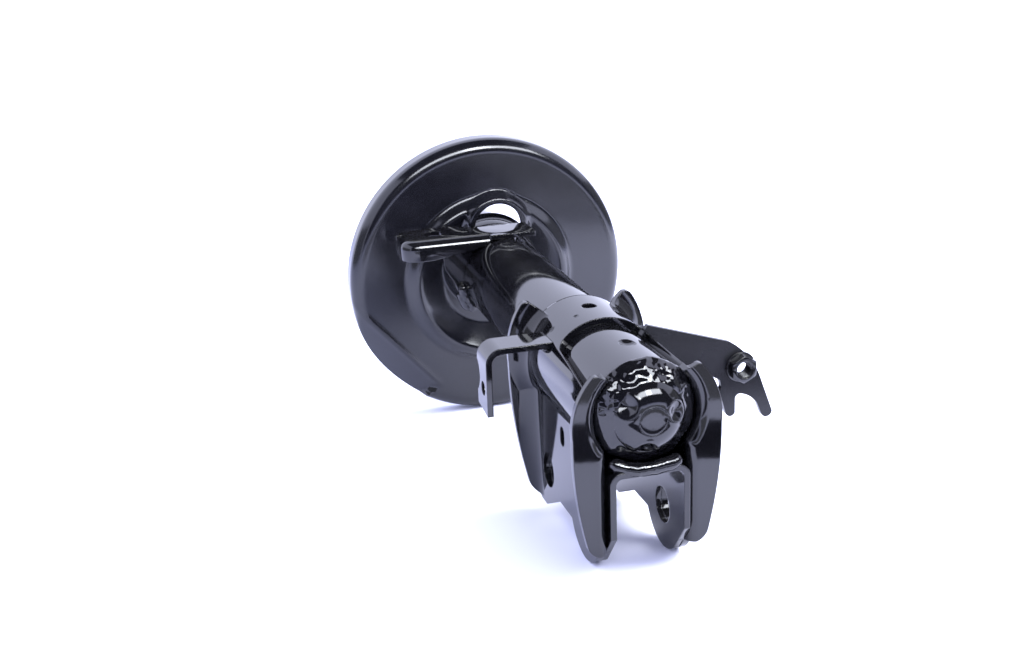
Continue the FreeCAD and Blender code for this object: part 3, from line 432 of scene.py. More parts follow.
print("metals:", [m.name for m in (rod_chrome, thread_steel, turned_steel, drawn_steel,
                                   sintered_steel, spring_steel, bronze)])

# %% [markdown]
# ## Rubbers and the piston's sliding ring
#
# The bumper and the seal are moulded nitrile: nearly black, satin, with a parting grain.
# The sliding ring is a filled fluoropolymer, brown-grey with dark specks and a waxy gloss.


# %% Rubber and plastic recipes
def moulded(name, colour, speck_colour, rough, specks, sheen):
    """Satin rubber or plastic, clouded, with specks of a second colour."""
    f = Finish(name)
    cloud = f.noise(110.0, 3.0)
    grain = f.noise(2400.0, 2.0)
    spots = grain.step(0.62, 0.72) * specks
    deep = tuple(c * 0.7 for c in colour) + (1.0,)
    base = f.blend(cloud.step(0.35, 0.65), deep, (*colour, 1.0))
    f.feed("Base Color", f.blend(spots, base, (*speck_colour, 1.0)))
    f.feed("Roughness", rough + (cloud - 0.5) * 0.2 - spots * 0.1)
    f.shader.inputs["Sheen Weight"].default_value = sheen
    f.relief(grain * 0.012 + cloud * 0.02, 0.0003)
    return f.material


bumper_rubber = moulded("bumper_nitrile", (0.020, 0.020, 0.021), (0.05, 0.05, 0.05), 0.62, 0.3,
                        0.1)
seal_rubber = moulded("seal_nitrile", (0.026, 0.022, 0.020), (0.04, 0.04, 0.04), 0.45, 0.2, 0.05)
band_plastic = moulded("filled_fluoropolymer", (0.11, 0.095, 0.080), (0.02, 0.02, 0.02), 0.34,
                       0.8, 0.0)
print("soft materials:", [m.name for m in (bumper_rubber, seal_rubber, band_plastic)])

# %% [markdown]
# ## Making a finished piece
#
# Pieces are drawn as meshes in the strut's frame. One helper turns such a mesh to the lying
# angle, smooths it but keeps the edges sharper than a set angle, hangs it under an empty for
# the body it rides on, gives it its material and hides the solid it stands for.


# %% Piece helper
def stand(name, mesh):
    """A new object for a mesh, at the origin and unturned."""
    thing = bpy.data.objects.new(name, mesh)
    bpy.context.scene.collection.objects.link(thing)
    return thing


def settle(name, mesh, material, body, stands_for, sharp, turned=False):
    """A finished piece from a mesh in mm along the strut, or in metres if it is turned."""
    if not turned:
        mesh.transform(TO_ROW)
    mesh.materials.clear()
    mesh.materials.append(material)
    for face in mesh.polygons:
        face.use_smooth = True
        face.material_index = 0
    mesh.set_sharp_from_angle(angle=math.radians(sharp))
    piece = stand(name, mesh)
    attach(piece, body)
    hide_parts(*stands_for)
    mesh.calc_loop_triangles()
    print(name, "triangles:", len(mesh.loop_triangles))


def mesh_of(bm, name):
    """A mesh from a closed body, with its doubles merged and its faces outward."""
    bmesh.ops.remove_doubles(bm, verts=bm.verts, dist=1e-4)
    bmesh.ops.recalc_face_normals(bm, faces=bm.faces)
    mesh = bpy.data.meshes.new(name)
    bm.to_mesh(mesh)
    bm.free()
    return mesh


def wall(bm, first, second):
    """Faces between two closed rings of points."""
    for k in range(len(first)):
        n = (k + 1) % len(first)
        bm.faces.new((first[k], first[n], second[n], second[k]))


def prism(near, far, name):
    """A closed body between two outlines with as many points."""
    bm = bmesh.new()
    ends = [[bm.verts.new(point) for point in outline] for outline in (near, far)]
    for end in ends:
        bm.faces.new(end)
    wall(bm, *ends)
    return mesh_of(bm, name)


def spun(rows, place, count):
    """Closed body from rows that run round: place(row, angle) gives each point in mm."""
    bm = bmesh.new()
    rings = [[bm.verts.new(place(row, 2.0 * math.pi * k / count)) for k in range(count)]
             for row in rows]
    for first, second in zip(rings, rings[1:]):
        wall(bm, first, second)
    return bm


def merged(name, meshes):
    """Several meshes as one."""
    bm = bmesh.new()
    for mesh in meshes:
        bm.from_mesh(mesh)
    mesh = bpy.data.meshes.new(name)
    bm.to_mesh(mesh)
    bm.free()
    return mesh


def round_y(row, angle):
    """A (radius, height) row as a circle round the strut's axis."""
    return (row[0] * math.sin(angle), row[1], row[0] * math.cos(angle))


def smooth(low, high, value):
    """0 below low, 1 above high, smooth between them."""
    t = min(1.0, max(0.0, (value - low) / (high - low)))
    return t * t * (3.0 - 2.0 * t)


print("piece helpers ready")

# %% [markdown]
# ## Weld beads
#
# A robot lays each bead as a row of small overlapping pools, so it has even ripples, a
# slightly wandering width and soft lumps where it started and stopped. That is a rule along
# a path, which Geometry Nodes follow well: a path is swept to a round bead, and every point
# of it is moved along its normal by the ripples and by two sizes of noise. The helpers give
# any tree its named inputs and its two last nodes.


# %% Helpers for trees
def new_tree(name, inputs):
    """A tree's Graph, and its named inputs as Wires; each comes with a usual value."""
    tree = bpy.data.node_groups.new(name, "GeometryNodeTree")
    for label, kind, value in (("Geometry", "Geometry", None), *inputs,
                               ("Finish", "Material", None)):
        socket = tree.interface.new_socket(label, in_out="INPUT",
                                           socket_type="NodeSocket" + kind)
        if value is not None:
            socket.default_value = value
    tree.interface.new_socket("Geometry", in_out="OUTPUT", socket_type="NodeSocketGeometry")
    graph = Graph(tree)
    given = tree.nodes.new("NodeGroupInput")
    return graph, {s.name: Wire(graph, s) for s in given.outputs if s.name}


def end_tree(graph, shape, finish):
    """Instances are made real and the finish is set, because the export needs both."""
    shape = graph.node("GeometryNodeRealizeInstances", {}, {0: shape})
    shape = graph.node("GeometryNodeSetMaterial", {}, {"Geometry": shape, "Material": finish})
    result = graph.tree.nodes.new("NodeGroupOutput")
    graph.tree.links.new(shape.socket, result.inputs[0])
    print(graph.tree.name, "tree nodes:", len(graph.tree.nodes))


print("tree helpers ready")

# %% The bead tree
g, want = new_tree("weld_bead", (
    ("Bead Radius", "Float", 0.003), ("Ripple Length", "Float", 0.0016),
    ("Ripple Depth", "Float", 0.0002), ("Lump Height", "Float", 0.0006),
    ("Lump Scale", "Float", 150.0), ("Tapered Ends", "Float", 1.0), ("Rings", "Int", 200),
    ("Seed", "Float", 1.0)))
bead_tree = g.tree
path = g.node("GeometryNodeMeshToCurve", {}, {"Mesh": want["Geometry"]})
path = g.node("GeometryNodeResampleCurve", {}, {"Curve": path, "Count": want["Rings"]})
spline = bead_tree.nodes.new("GeometryNodeSplineParameter")
share = Wire(g, spline.outputs["Factor"])
run = Wire(g, spline.outputs["Length"])
kept = g.node("GeometryNodeCaptureAttribute", {"captures": ["run"]}, {"Geometry": path, 1: run})
kept_run = Wire(g, kept.socket.node.outputs[1])
ends = 1.0 - (share * 2.0 - 1.0).maths("ABSOLUTE") ** 14.0
width = want["Bead Radius"] * (1.0 - want["Tapered Ends"] * (1.0 - ends.maths("SQRT")))
ring = g.node("GeometryNodeCurvePrimitiveCircle", {}, {"Resolution": 28, "Radius": 1.0})
body = g.node("GeometryNodeCurveToMesh", {}, {"Curve": kept, "Profile Curve": ring,
                                              "Scale": width, "Fill Caps": True})
wave = (kept_run / want["Ripple Length"]).maths("FRACT")
wave = 1.0 - wave * wave
spot = g.node("ShaderNodeVectorMath", {"operation": "ADD"}, {
    0: bead_tree.nodes.new("GeometryNodeInputPosition").outputs[0],
    1: g.node("ShaderNodeCombineXYZ", {}, {"X": want["Seed"], "Y": 0.0, "Z": 0.0})})
lump = g.node("ShaderNodeTexNoise", {}, {"Vector": spot, "Scale": want["Lump Scale"],
                                         "Detail": 1.5})
small = g.node("ShaderNodeTexNoise", {}, {"Vector": spot, "Scale": want["Lump Scale"] * 4.0,
                                          "Detail": 1.0})
height = (wave * want["Ripple Depth"] + (lump - 0.5) * want["Lump Height"] * 2.0
          + (small - 0.5) * want["Lump Height"] * 0.5)
push = g.node("ShaderNodeVectorMath", {"operation": "SCALE"}, {
    0: bead_tree.nodes.new("GeometryNodeInputNormal").outputs[0], "Scale": height})
body = g.node("GeometryNodeSetPosition", {}, {"Geometry": body, "Offset": push})
end_tree(g, body, want["Finish"])


# %% From a tree to a plain mesh
RING_STEP = 0.45        # mm between two rings of a bead
RIPPLE_LENGTH = 0.0017  # metres, as a tree takes them
RIPPLE_DEPTH = 0.00008
LUMP_SCALE = 160.0


def grown(tree, seed_mesh, values, name):
    """The tree's result on a mesh, as a new plain mesh in metres."""
    holder = stand(name + "_source", seed_mesh)
    modifier = holder.modifiers.new("shape", "NODES")
    modifier.node_group = tree
    for item in tree.interface.items_tree:
        if item.in_out == "INPUT" and item.name in values:
            modifier[item.identifier] = values[item.name]
    graph = bpy.context.evaluated_depsgraph_get()
    mesh = bpy.data.meshes.new_from_object(holder.evaluated_get(graph))
    bpy.data.objects.remove(holder)
    return mesh


def path_mesh(points, closed=False):
    """A line of edges through points given in the strut's frame, in mm."""
    mesh = bpy.data.meshes.new("path")
    edges = [(k, k + 1) for k in range(len(points) - 1)]
    if closed:
        edges.append((len(points) - 1, 0))
    mesh.from_pydata([TO_ROW @ Vector(p) for p in points], edges, [])
    return mesh


def arc_points(radius, y, first, last, count):
    """Points on an arc round the strut's axis; angles run from the top towards +X."""
    turns = [math.radians(first + (last - first) * k / (count - 1)) for k in range(count)]
    return [(radius * math.sin(a), y, radius * math.cos(a)) for a in turns]


def soft_path(points, count):
    """A smooth line through a few points."""
    line = []
    for k in range(count):
        t = k / (count - 1) * (len(points) - 1)
        i = min(int(t), len(points) - 2)
        p = [Vector(points[max(0, min(len(points) - 1, i + d))]) for d in (-1, 0, 1, 2)]
        u = t - i
        line.append(0.5 * ((2 * p[1]) + (p[2] - p[0]) * u
                           + (2 * p[0] - 5 * p[1] + 4 * p[2] - p[3]) * u * u
                           + (3 * p[1] - p[0] - 3 * p[2] + p[3]) * u ** 3))
    return line


def beads(name, node, runs):
    """One piece from several beads: (points, closed, radius mm, lumps mm, seed)."""
    grown_runs = []
    for points, closed, radius, lumps, seed in runs:
        long = sum((Vector(a) - Vector(b)).length for a, b in zip(points, points[1:]))
        grown_runs.append(grown(bead_tree, path_mesh(points, closed), {
            "Bead Radius": radius / 1000.0, "Ripple Length": RIPPLE_LENGTH,
            "Ripple Depth": RIPPLE_DEPTH * min(1.0, radius / 3.0),
            "Lump Height": lumps / 1000.0, "Lump Scale": LUMP_SCALE,
            "Tapered Ends": 0.0 if closed else 1.0,
            "Rings": max(30, int(long / RING_STEP)), "Seed": float(seed),
            "Finish": weld_black}, name))
    settle(name, merged(name, grown_runs), weld_black, "housing", [node], 50.0,
           turned=True)


print("bead helpers ready")

# %% [markdown]
# ## Spring seat
#
# The seat is drawn from 3 mm sheet: a ring bead stiffens its floor, the floor inside the bead
# lies deeper, an embossed rim stands round the open hole, and one side leans back as a flat
# facet. Every one of those is a soft change of height over the dish, so the near face is a
# rule: a height for each radius, pushed by the distance to the hole and to the facet's line.
# The rows are spun into a closed shell, and the two holes are cut with a Boolean.

# %% Heights of the dish
SEAT_DROP = 10.0        # the dish's middle below the tube's axis
SEAT_FLOOR = 266.0
SEAT_BACK = 283.0       # the far edge of the rim
SEAT_R = 87.98
SHEET = 3.0
SEAT_BEND = 8.0         # radius of the bend between floor and rim
RING_IN = 30.5          # the ring bead's slope starts here
RING_OUT = 45.0         # and ends here
RING_TOP = 270.0
RING_SLOPE = 9.0 / 14.5
HOLE = (4.5, 24.0)      # the open hole's middle, x and z
HOLE_RIM = 258.5        # the crest of the hole's embossed rim
LEAN = (math.sin(math.radians(228.1)), math.cos(math.radians(228.1)))
LEAN_FROM = 72.0        # the facet's crease, from the dish's middle
LEAN_SLOPE = 16.0 / 17.0


def soft_max(a, b, round_off=1.1):
    """The larger of two heights, with the corner between them rounded."""
    return 0.5 * (a + b + math.sqrt((a - b) ** 2 + round_off ** 2))


def dish_height(r, x, z, back):
    """How far along the strut the dish's face lies; back is 0 for the near face, 1 for the far."""
    if r < SEAT_R - SEAT_BEND:
        ramp = soft_max(0.0, r - RING_IN) - soft_max(0.0, r - RING_OUT)
        y = RING_TOP - RING_SLOPE * ramp + 5.0 * smooth(46.5, 55.0, r)
    else:
        bend = SEAT_BEND - SHEET * back
        out = min(bend, r - SEAT_R + SEAT_BEND)
        y = 274.0 - math.sqrt(max(0.0, bend * bend - out * out)) - SHEET * back
    rim = 1.0 - smooth(17.6, 22.6, math.hypot(x - HOLE[0], z - HOLE[1]))
    y = y + (HOLE_RIM - y) * rim + SHEET * back
    # d runs out from the dish's middle towards the facet, and p runs along its crease
    d = x * LEAN[0] + (z + SEAT_DROP) * LEAN[1]
    p = x * LEAN[1] - (z + SEAT_DROP) * LEAN[0]
    leaned = SEAT_FLOOR + (d - LEAN_FROM) * LEAN_SLOPE + back * SHEET * 1.37
    rib = 0.7 * math.exp(-((d - LEAN_FROM + 0.8) / 1.7) ** 2)
    return y + (min(SEAT_BACK - 0.4, soft_max(y, leaned)) - rib - y) * smooth(-27.0, -23.5, p)


print("floor and crest, in mm:", dish_height(65.0, 65.0, -10.0, 0),
      round(dish_height(44.0, 44.0, -10.0, 0), 2))

# %% Spring seat shell
ROUND = 288             # points in each row
BACK_FLAT = 80.0        # the far face is flat up to here
near_rows = [("near", 8.0 + k) for k in range(73)]
near_rows += [("near", SEAT_R - SEAT_BEND + SEAT_BEND * math.sin(math.radians(a)))
              for a in range(10, 91, 10)]
wall_rows = [("wall", t) for t in (0.12, 0.35, 0.65, 0.9)]
lip_rows = [("lip", a) for a in (0.0, 0.5, 1.0)]
back_wall = [("back_wall", t) for t in (0.9, 0.5, 0.1)]
back_rows = [("back", BACK_FLAT + 5.0 * math.sin(math.radians(a))) for a in range(90, 0, -15)]
back_rows += [("back", BACK_FLAT - 1.6 * k) for k in range(46)]


def seat_point(row, angle):
    """A point of the shell; a row is its side of the sheet and a radius or a share."""
    kind, value = row
    s, c = math.sin(angle), math.cos(angle)
    r = {"near": value, "back": value, "wall": SEAT_R, "back_wall": SEAT_R - SHEET,
         "lip": SEAT_R - SHEET * value}[kind]
    x, z = r * s, r * c - SEAT_DROP
    if kind == "near":
        y = dish_height(r, x, z, 0)
    elif kind == "back":
        y = dish_height(r, x, z, 1)
    elif kind == "lip":
        y = SEAT_BACK - 0.25 * abs(1.0 - 2.0 * value)
    else:
        start = dish_height(r, x, z, 0 if kind == "wall" else 1)
        y = start + (SEAT_BACK - 0.3 - start) * value
    return (x, y, z)


seat = spun(near_rows + wall_rows + lip_rows + back_wall + back_rows, seat_point, ROUND)
points = list(seat.verts)
wall(seat, points[-ROUND:], points[:ROUND])
seat_mesh = mesh_of(seat, "spring_seat_pressed")
print("shell faces:", len(seat_mesh.polygons))


# %% Holes by Boolean
def drilled(mesh, drills):
    """The mesh less some bodies, each given as a mesh."""
    holder = stand("work", mesh)
    cutters = [stand("drill", drill) for drill in drills]
    for cutter in cutters:
        modifier = holder.modifiers.new("cut", "BOOLEAN")
        modifier.object = cutter
        modifier.operation = "DIFFERENCE"
        modifier.solver = "EXACT"
    graph = bpy.context.evaluated_depsgraph_get()
    cut = bpy.data.meshes.new_from_object(holder.evaluated_get(graph))
    for thing in cutters + [holder]:
        bpy.data.objects.remove(thing)
    return cut


def circle(radius, y, x=0.0, z=0.0, count=192):
    """Points round an axis along the strut, from the top towards +X."""
    turns = [2 * math.pi * k / count for k in range(count)]
    return [(x + radius * math.sin(a), y, z + radius * math.cos(a)) for a in turns]


BEFORE, BEHIND = 240.0, 300.0       # the drills go through the whole seat
TUBE_HOLE = 25.06
OPEN_HOLE = 15.0
seat_mesh = drilled(seat_mesh, [
    prism(circle(TUBE_HOLE, BEFORE), circle(TUBE_HOLE, BEHIND), "drill"),
    prism(circle(OPEN_HOLE, BEFORE, *HOLE), circle(OPEN_HOLE, BEHIND, *HOLE), "drill")])
COLLAR_LINE = [(25.07, 253.0), (25.4, 252.9), (27.6, 253.1), (27.95, 253.5), (27.95, 265.5),
               (28.4, 267.6), (29.4, 269.2), (31.0, 270.1), (31.0, 271.5), (25.07, 271.5),
               (25.07, 253.0)]
collar = mesh_of(spun(COLLAR_LINE, round_y, 192), "collar")
settle("spring_seat_pressed", merged("spring_seat_pressed", [seat_mesh, collar]), seat_black,
       "housing", ["spring_seat"], 42.0)

# %% [markdown]
# ## End cap
#
# The cap is a small dome with a flat disc on top and three round dimples from the press that
# staked it. A dimple is a soft hollow with a barely raised rim, so it is again a rule: each
# point of the spun dome is pushed along the dome's normal by its distance to each dimple.

# %% Dome and dimples
# each dimple's turn from the top, distance from the axis, reach and depth
DIMPLES = ((-57.0, 14.4, 5.9, 2.5), (76.0, 11.8, 5.2, 1.7), (189.0, 15.0, 5.6, 2.0))
DOME_END = -4.9         # the dimples stay on this side of the dome


def dome_line(count):
    """Fine rows over the dome, from its flat to the weld."""
    centre_x, centre_y, radius = 6.05, 0.4, 14.4
    rows = [(0.0, -14.0), (2.0, -14.0), (4.2, -14.0), (5.8, -14.0), (6.3, -13.97), (6.6, -13.86),
            (6.8, -13.72)]
    for k in range(count):
        a = math.radians(4.0 + (66.0 - 4.0) * k / (count - 1))
        rows.append((centre_x + radius * math.sin(a) * 0.97,
                     centre_y - radius * math.cos(a)))
    rows += [(20.0, -4.95), (21.2, -4.75), (21.9, -4.0)]
    return rows


def cap_point(row, angle):
    """A point of the cap, pushed in by the dimples near it."""
    r, y = row
    x, z = r * math.sin(angle), r * math.cos(angle)
    if y < DOME_END:
        push = 0.0
        for turn, distance, reach, depth in DIMPLES:
            ux, uz = math.sin(math.radians(turn)), math.cos(math.radians(turn))
            cx, cz = distance * ux, distance * uz
            out = (x - cx) * ux + (z - cz) * uz
            side = -(x - cx) * uz + (z - cz) * ux
            away = math.hypot(out * (1.25 if out > 0 else 1.1), side)
            raised = 0.22 * math.exp(-(away - reach - 0.3) ** 2)
            push += depth * (1.0 - smooth(0.0, reach, away)) - raised
        tilt = min(1.1, max(0.0, (r - 6.0) / 13.5 * 1.1))
        x -= push * math.sin(tilt) * math.sin(angle)
        z -= push * math.sin(tilt) * math.cos(angle)
        y += push * math.cos(tilt)
    return (x, y, z)


cap_rows = dome_line(44) + [(22.4, -2.0), (22.4, 11.8), (22.2, 12.0), (19.6, 12.0), (19.45, 11.8),
                          (19.45, 2.0), (16.5, -2.6), (6.4, -10.8), (0.0, -10.8)]
settle("end_cap_domed", mesh_of(spun(cap_rows, cap_point, 224), "end_cap_domed"), gloss_black,
       "housing", ["end_cap"], 50.0)

# %% [markdown]
# ## Cap weld
#
# The weld that closes the cap is wider than a simple bead: the torch melts the cap's shoulder
# and the tube's end together, so dome and weld flow into each other. It is smooth below and
# thick and lumpy on top, where the run starts and stops. It is spun like the dome, and every
# point is pushed out by two sizes of noise whose strength depends on the angle.

# %% Cap weld
WELD_LINE = [(16.2, -8.9), (17.2, -8.15), (18.2, -7.25), (19.2, -6.3), (20.2, -5.45),
             (21.2, -4.7), (22.2, -3.9), (23.2, -2.95), (24.1, -1.85), (24.8, -0.75),
             (25.15, 0.3), (25.2, 1.0), (24.95, 1.5)]
WELD_STEPS = (len(WELD_LINE) - 1) * 4       # fine rows between the line's ends


def weld_point(row, angle):
    """A point of the weld; a row is its number, its radius and its height."""
    k, r, y = row
    turn = math.degrees(angle)
    turn = turn - 360.0 if turn > 180.0 else turn
    side = 1.0 - smooth(52.0, 95.0, abs(turn + 3.0))
    here = Vector((r * math.sin(angle), y, r * math.cos(angle)))
    lumps = noise.noise(here / 5.2 + Vector((7.3, 1.1, 4.2))) * (0.25 + 1.0 * side)
    small = noise.noise(here / 2.3 + Vector((2.9, 5.5, 8.4))) * (0.04 + 0.34 * side)
    share = k / WELD_STEPS
    body = math.sin(math.pi * min(1.0, max(0.0, share))) ** 0.7
    out = body * (0.25 + 0.95 * side + lumps + small)
    tilt = math.radians(32.0 + 50.0 * share)
    r += out * math.sin(tilt)
    y -= out * math.cos(tilt)
    return (r * math.sin(angle), y, r * math.cos(angle))


fine = soft_path([(r, y, 0.0) for r, y in WELD_LINE], WELD_STEPS + 1)
weld_rows = [(k, point.x, point.y) for k, point in enumerate(fine)]
weld_rows += [(0, 22.6, 2.4), (0, 19.0, 0.0), (0, 15.6, -7.4), (0, 16.2, -8.9)]
settle("end_cap_melted_bead", mesh_of(spun(weld_rows, weld_point, 320), "cap_weld"), weld_black,
       "housing", ["end_cap_weld"], 60.0)

# %% [markdown]
# ## The beads on this strut
#
# The bead between the tube's end and the inner bracket hangs like a smile. The others fill
# corners between the brackets and the tube.

# %% Beads
WEB_RUNS = [[(x, 10.0 + 2.0 * k, -25.6) for k in range(31)] for x in (-9.0, 9.0)]
smile = soft_path([(-17.6, -3.6, -20.6), (-14.4, -5.6, -23.0), (-9.0, -6.9, -24.7),
                   (-3.1, -7.4, -25.4), (4.3, -7.4, -25.2), (11.6, -6.8, -24.3),
                   (15.8, -5.0, -22.8)], 80)
beads("knuckle_bead", "knuckle_weld", [
    (smile, False, 3.4, 0.6, 5), (WEB_RUNS[0], False, 2.5, 0.4, 7),
    (WEB_RUNS[1], False, 2.5, 0.4, 9)])
beads("link_bead", "link_bracket_weld", [
    (arc_points(26.2, 230.8, -133.0, -93.0, 40), False, 3.5, 1.3, 13),
    (arc_points(28.4, 231.2, -126.0, -102.0, 20), False, 2.9, 1.2, 17)])
beads("hose_bead", "hose_bracket_weld", [
    ([(-25.8, 61.6 + 0.5 * k, 12.6) for k in range(29)], False, 2.3, 0.5, 19)])
beads("fork_bead", "fork_bracket_weld", [
    (arc_points(29.2, 46.5, 43.0, 81.0, 40), False, 2.3, 0.4, 23)])
beads("seat_bead", "seat_weld", [(circle(25.9, 252.3, count=160), True, 1.9, 0.3, 29)])

# %% [markdown]
# ## Link bracket
#
# A flat plate lies over the tube with its near edge and left end turned down to a rim. The
# bend has a generous radius, which shows as a bright line, so the rim is swept: one section
# of flat, bend and flat, carried along the plate's outline. The plate itself is one face
# between the end of the bend and the far edge, and a gusset goes down the tube's side.

# %% Outline of the link bracket
LINK_TOP = 28.05
LINK_NEAR = 227.0
LINK_FAR = 258.0
LINK_LEFT = -62.0
LINK_RIGHT = 19.0
LINK_CORNER = 10.0      # radius of the plate's near left corner
LINK_BEND = 5.4         # outer radius of the bend from plate to rim
LINK_HOLE = (-40.0, 245.0)
LINK_HOLE_R = 6.1
RIM_END = -9.0


def link_outline():
    """Points on the turned-down edge, each with the direction into the plate."""
    line = [(x, LINK_NEAR, 0.0, 1.0) for x in
            [RIM_END - 43.0 * k / 16.0 for k in range(17)]]
    for k in range(1, 17):
        a = math.radians(90.0 * k / 16.0)
        line.append((LINK_LEFT + LINK_CORNER * (1.0 - math.sin(a)),
                     LINK_NEAR + LINK_CORNER * (1.0 - math.cos(a)), math.sin(a), math.cos(a)))
    return line + [(LINK_LEFT, LINK_NEAR + LINK_CORNER + 1.5 * k, 1.0, 0.0) for k in range(1, 9)]


def rim_section(x):
    """The rim's section: (distance into the plate, height), outside first, then inside."""
    drop = 6.0 + 6.0 * min(1.0, max(0.0, (RIM_END - x) / 35.6))
    bend, low = LINK_BEND, LINK_TOP - drop
    turns = [math.radians(15.0 * k) for k in range(7)]
    outside = [(0.5, low - 0.05), (0.12, low + 0.2), (0.0, low + 0.6)] + [
        (bend * (1.0 - math.cos(a)), LINK_TOP - bend * (1.0 - math.sin(a))) for a in turns]
    tight = bend - SHEET
    inside = [(SHEET + tight * (1.0 - math.cos(a)), LINK_TOP - bend + tight * math.sin(a))
              for a in reversed(turns)]
    return outside + inside + [(SHEET, low + 0.6), (SHEET - 0.12, low + 0.2),
                               (SHEET - 0.5, low - 0.05)]


print("rim sections:", len(link_outline()), "of", len(rim_section(RIM_END)), "points")

# %% Link bracket
PLATE = 9               # in each section, the plate starts between this point and the next
link = bmesh.new()
sections = [[link.verts.new((x + q * into_x, y + q * into_y, z)) for q, z in rim_section(x)]
            for x, y, into_x, into_y in link_outline()]
for first, second in zip(sections, sections[1:]):
    for k in range(len(first)):
        n = (k + 1) % len(first)
        if k != PLATE:
            link.faces.new((first[k], first[n], second[n], second[k]))
link.faces.new(sections[0])
link.faces.new(sections[-1])
top_line = [section[PLATE] for section in sections]
low_line = [section[PLATE + 1] for section in sections]
rest = [(LINK_LEFT, 249.0), (-61.6, 250.8), (-59.1, 255.1), (-55.8, 257.3), (-52.0, LINK_FAR),
        (-23.95, LINK_FAR), (-13.98, 249.9), (LINK_RIGHT, 249.9), (LINK_RIGHT, LINK_NEAR),
        (RIM_END, LINK_NEAR)]
tops = [link.verts.new((x, y, LINK_TOP)) for x, y in rest]
lows = [link.verts.new((x, y, LINK_TOP - SHEET)) for x, y in rest]
link.faces.new(top_line + tops)
link.faces.new(low_line + lows)
for k in range(len(rest) - 1):
    link.faces.new((tops[k], tops[k + 1], lows[k + 1], lows[k]))
link.faces.new((top_line[-1], tops[0], lows[0], low_line[-1]))
link.faces.new((tops[-1], top_line[0], low_line[0], lows[-1]))
drill = bmesh.new()
bmesh.ops.create_cone(drill, cap_ends=True, segments=64, radius1=LINK_HOLE_R,
                      radius2=LINK_HOLE_R, depth=20.0,
                      matrix=Matrix.Translation((*LINK_HOLE, LINK_TOP - 1.55)))
plate = drilled(mesh_of(link, "link_plate"), [mesh_of(drill, "hole")])
GUSSET_R = 25.02        # the gusset's edge follows the tube
outline = [(-37.8, 25.4), (-36.5, 8.5), (-30.0, -2.5), (-22.9, -12.1)]
outline += [(GUSSET_R * math.sin(math.radians(a)), GUSSET_R * math.cos(math.radians(a)))
            for a in range(-127, -19, 6)] + [(-8.4, 25.4)]
gusset = prism(*([(x, y, z) for x, z in outline] for y in (233.0, 236.0)), "gusset")
settle("link_bracket_pressed", merged("link_bracket_pressed", [plate, gusset]), gloss_black,
       "housing", ["link_bracket"], 34.0)

# %% [markdown]
# ## Threads
#
# A thread is a grid rolled round an axis whose rows climb by one pitch in each turn, so that
# crests and roots run along the rows and never look stepped. The same Geometry Nodes tree
# rolls the rod's outside thread and the weld nut's inside one: only the core radius, inside
# or outside the thread, tells them apart.

# %% The thread tree
STEPS = 8.0             # rows in each turn's rise
AROUND = 97             # points in each row, the first and the last of them merged
g, want = new_tree("rolled_thread", (
    ("Crest Radius", "Float", 0.007), ("Depth", "Float", 0.0008), ("Pitch", "Float", 0.0015),
    ("Length", "Float", 0.0225), ("Core Radius", "Float", 0.0059)))
thread_tree = g.tree
turns = want["Length"] / want["Pitch"]
rows = (turns * STEPS).maths("ROUND") + 3.0
grid = g.node("GeometryNodeMeshGrid", {}, {"Size X": 1.0, "Size Y": 1.0, "Vertices X": rows,
                                           "Vertices Y": AROUND})
spot = g.node("ShaderNodeSeparateXYZ", {}, {
    0: thread_tree.nodes.new("GeometryNodeInputPosition").outputs[0]})
split = spot.socket.node
row = ((Wire(g, split.outputs[0]) + 0.5) * (rows - 1.0)).maths("ROUND")
share = Wire(g, split.outputs[1]) + 0.5
last = rows - 1.0
closing = row.maths("GREATER_THAN", last - 0.5)
inner = (row.maths("LESS_THAN", 0.5)).maths("MAXIMUM", row.maths("GREATER_THAN", last - 1.5))
step_row = (row - 1.0).maths("MAXIMUM", 0.0).maths("MINIMUM", last - 3.0)
phase = (step_row / STEPS).maths("FRACT")
flank = (phase * 2.0 - 1.0).maths("ABSOLUTE").step(0.12, 0.88)
along_rows = step_row / STEPS * (1.0 - closing)
climb = (along_rows + share) * want["Pitch"]
radius = want["Crest Radius"] - want["Depth"] * (1.0 - flank)
radius = radius * (1.0 - inner) + want["Core Radius"] * inner
angle = share * (2.0 * math.pi)
placed = g.node("ShaderNodeCombineXYZ", {}, {"X": radius * angle.maths("SINE"), "Y": climb,
                                             "Z": radius * angle.maths("COSINE")})
shape = g.node("GeometryNodeSetPosition", {}, {"Geometry": grid, "Position": placed})
shape = g.node("GeometryNodeMergeByDistance", {}, {"Geometry": shape, "Distance": 0.00001})
end_tree(g, shape, want["Finish"])


# %% A thread in place
def thread(crest, depth, pitch, length, core, start_y, x=0.0, z=0.0):
    """A threaded ring as a closed mesh in the strut's frame, in mm."""
    mesh = grown(thread_tree, bpy.data.meshes.new("start"), {
        "Crest Radius": crest / 1000.0, "Depth": depth / 1000.0, "Pitch": pitch / 1000.0,
        "Length": length / 1000.0, "Core Radius": core / 1000.0,
        "Finish": thread_steel}, "thread")
    mesh.transform(Matrix.Translation((x, start_y, z)) @ Matrix.Scale(1000.0, 4))
    bm = bmesh.new()
    bm.from_mesh(mesh)
    bmesh.ops.remove_doubles(bm, verts=bm.verts, dist=2e-3)
    bmesh.ops.holes_fill(bm, edges=[e for e in bm.edges if len(e.link_faces) == 1])
    bmesh.ops.recalc_face_normals(bm, faces=bm.faces)
    open_edges = sum(1 for e in bm.edges if len(e.link_faces) != 2)
    bm.to_mesh(mesh)
    bm.free()
    print("thread faces:", len(mesh.polygons), "open edges:", open_edges)
    return mesh


print("thread helper ready")


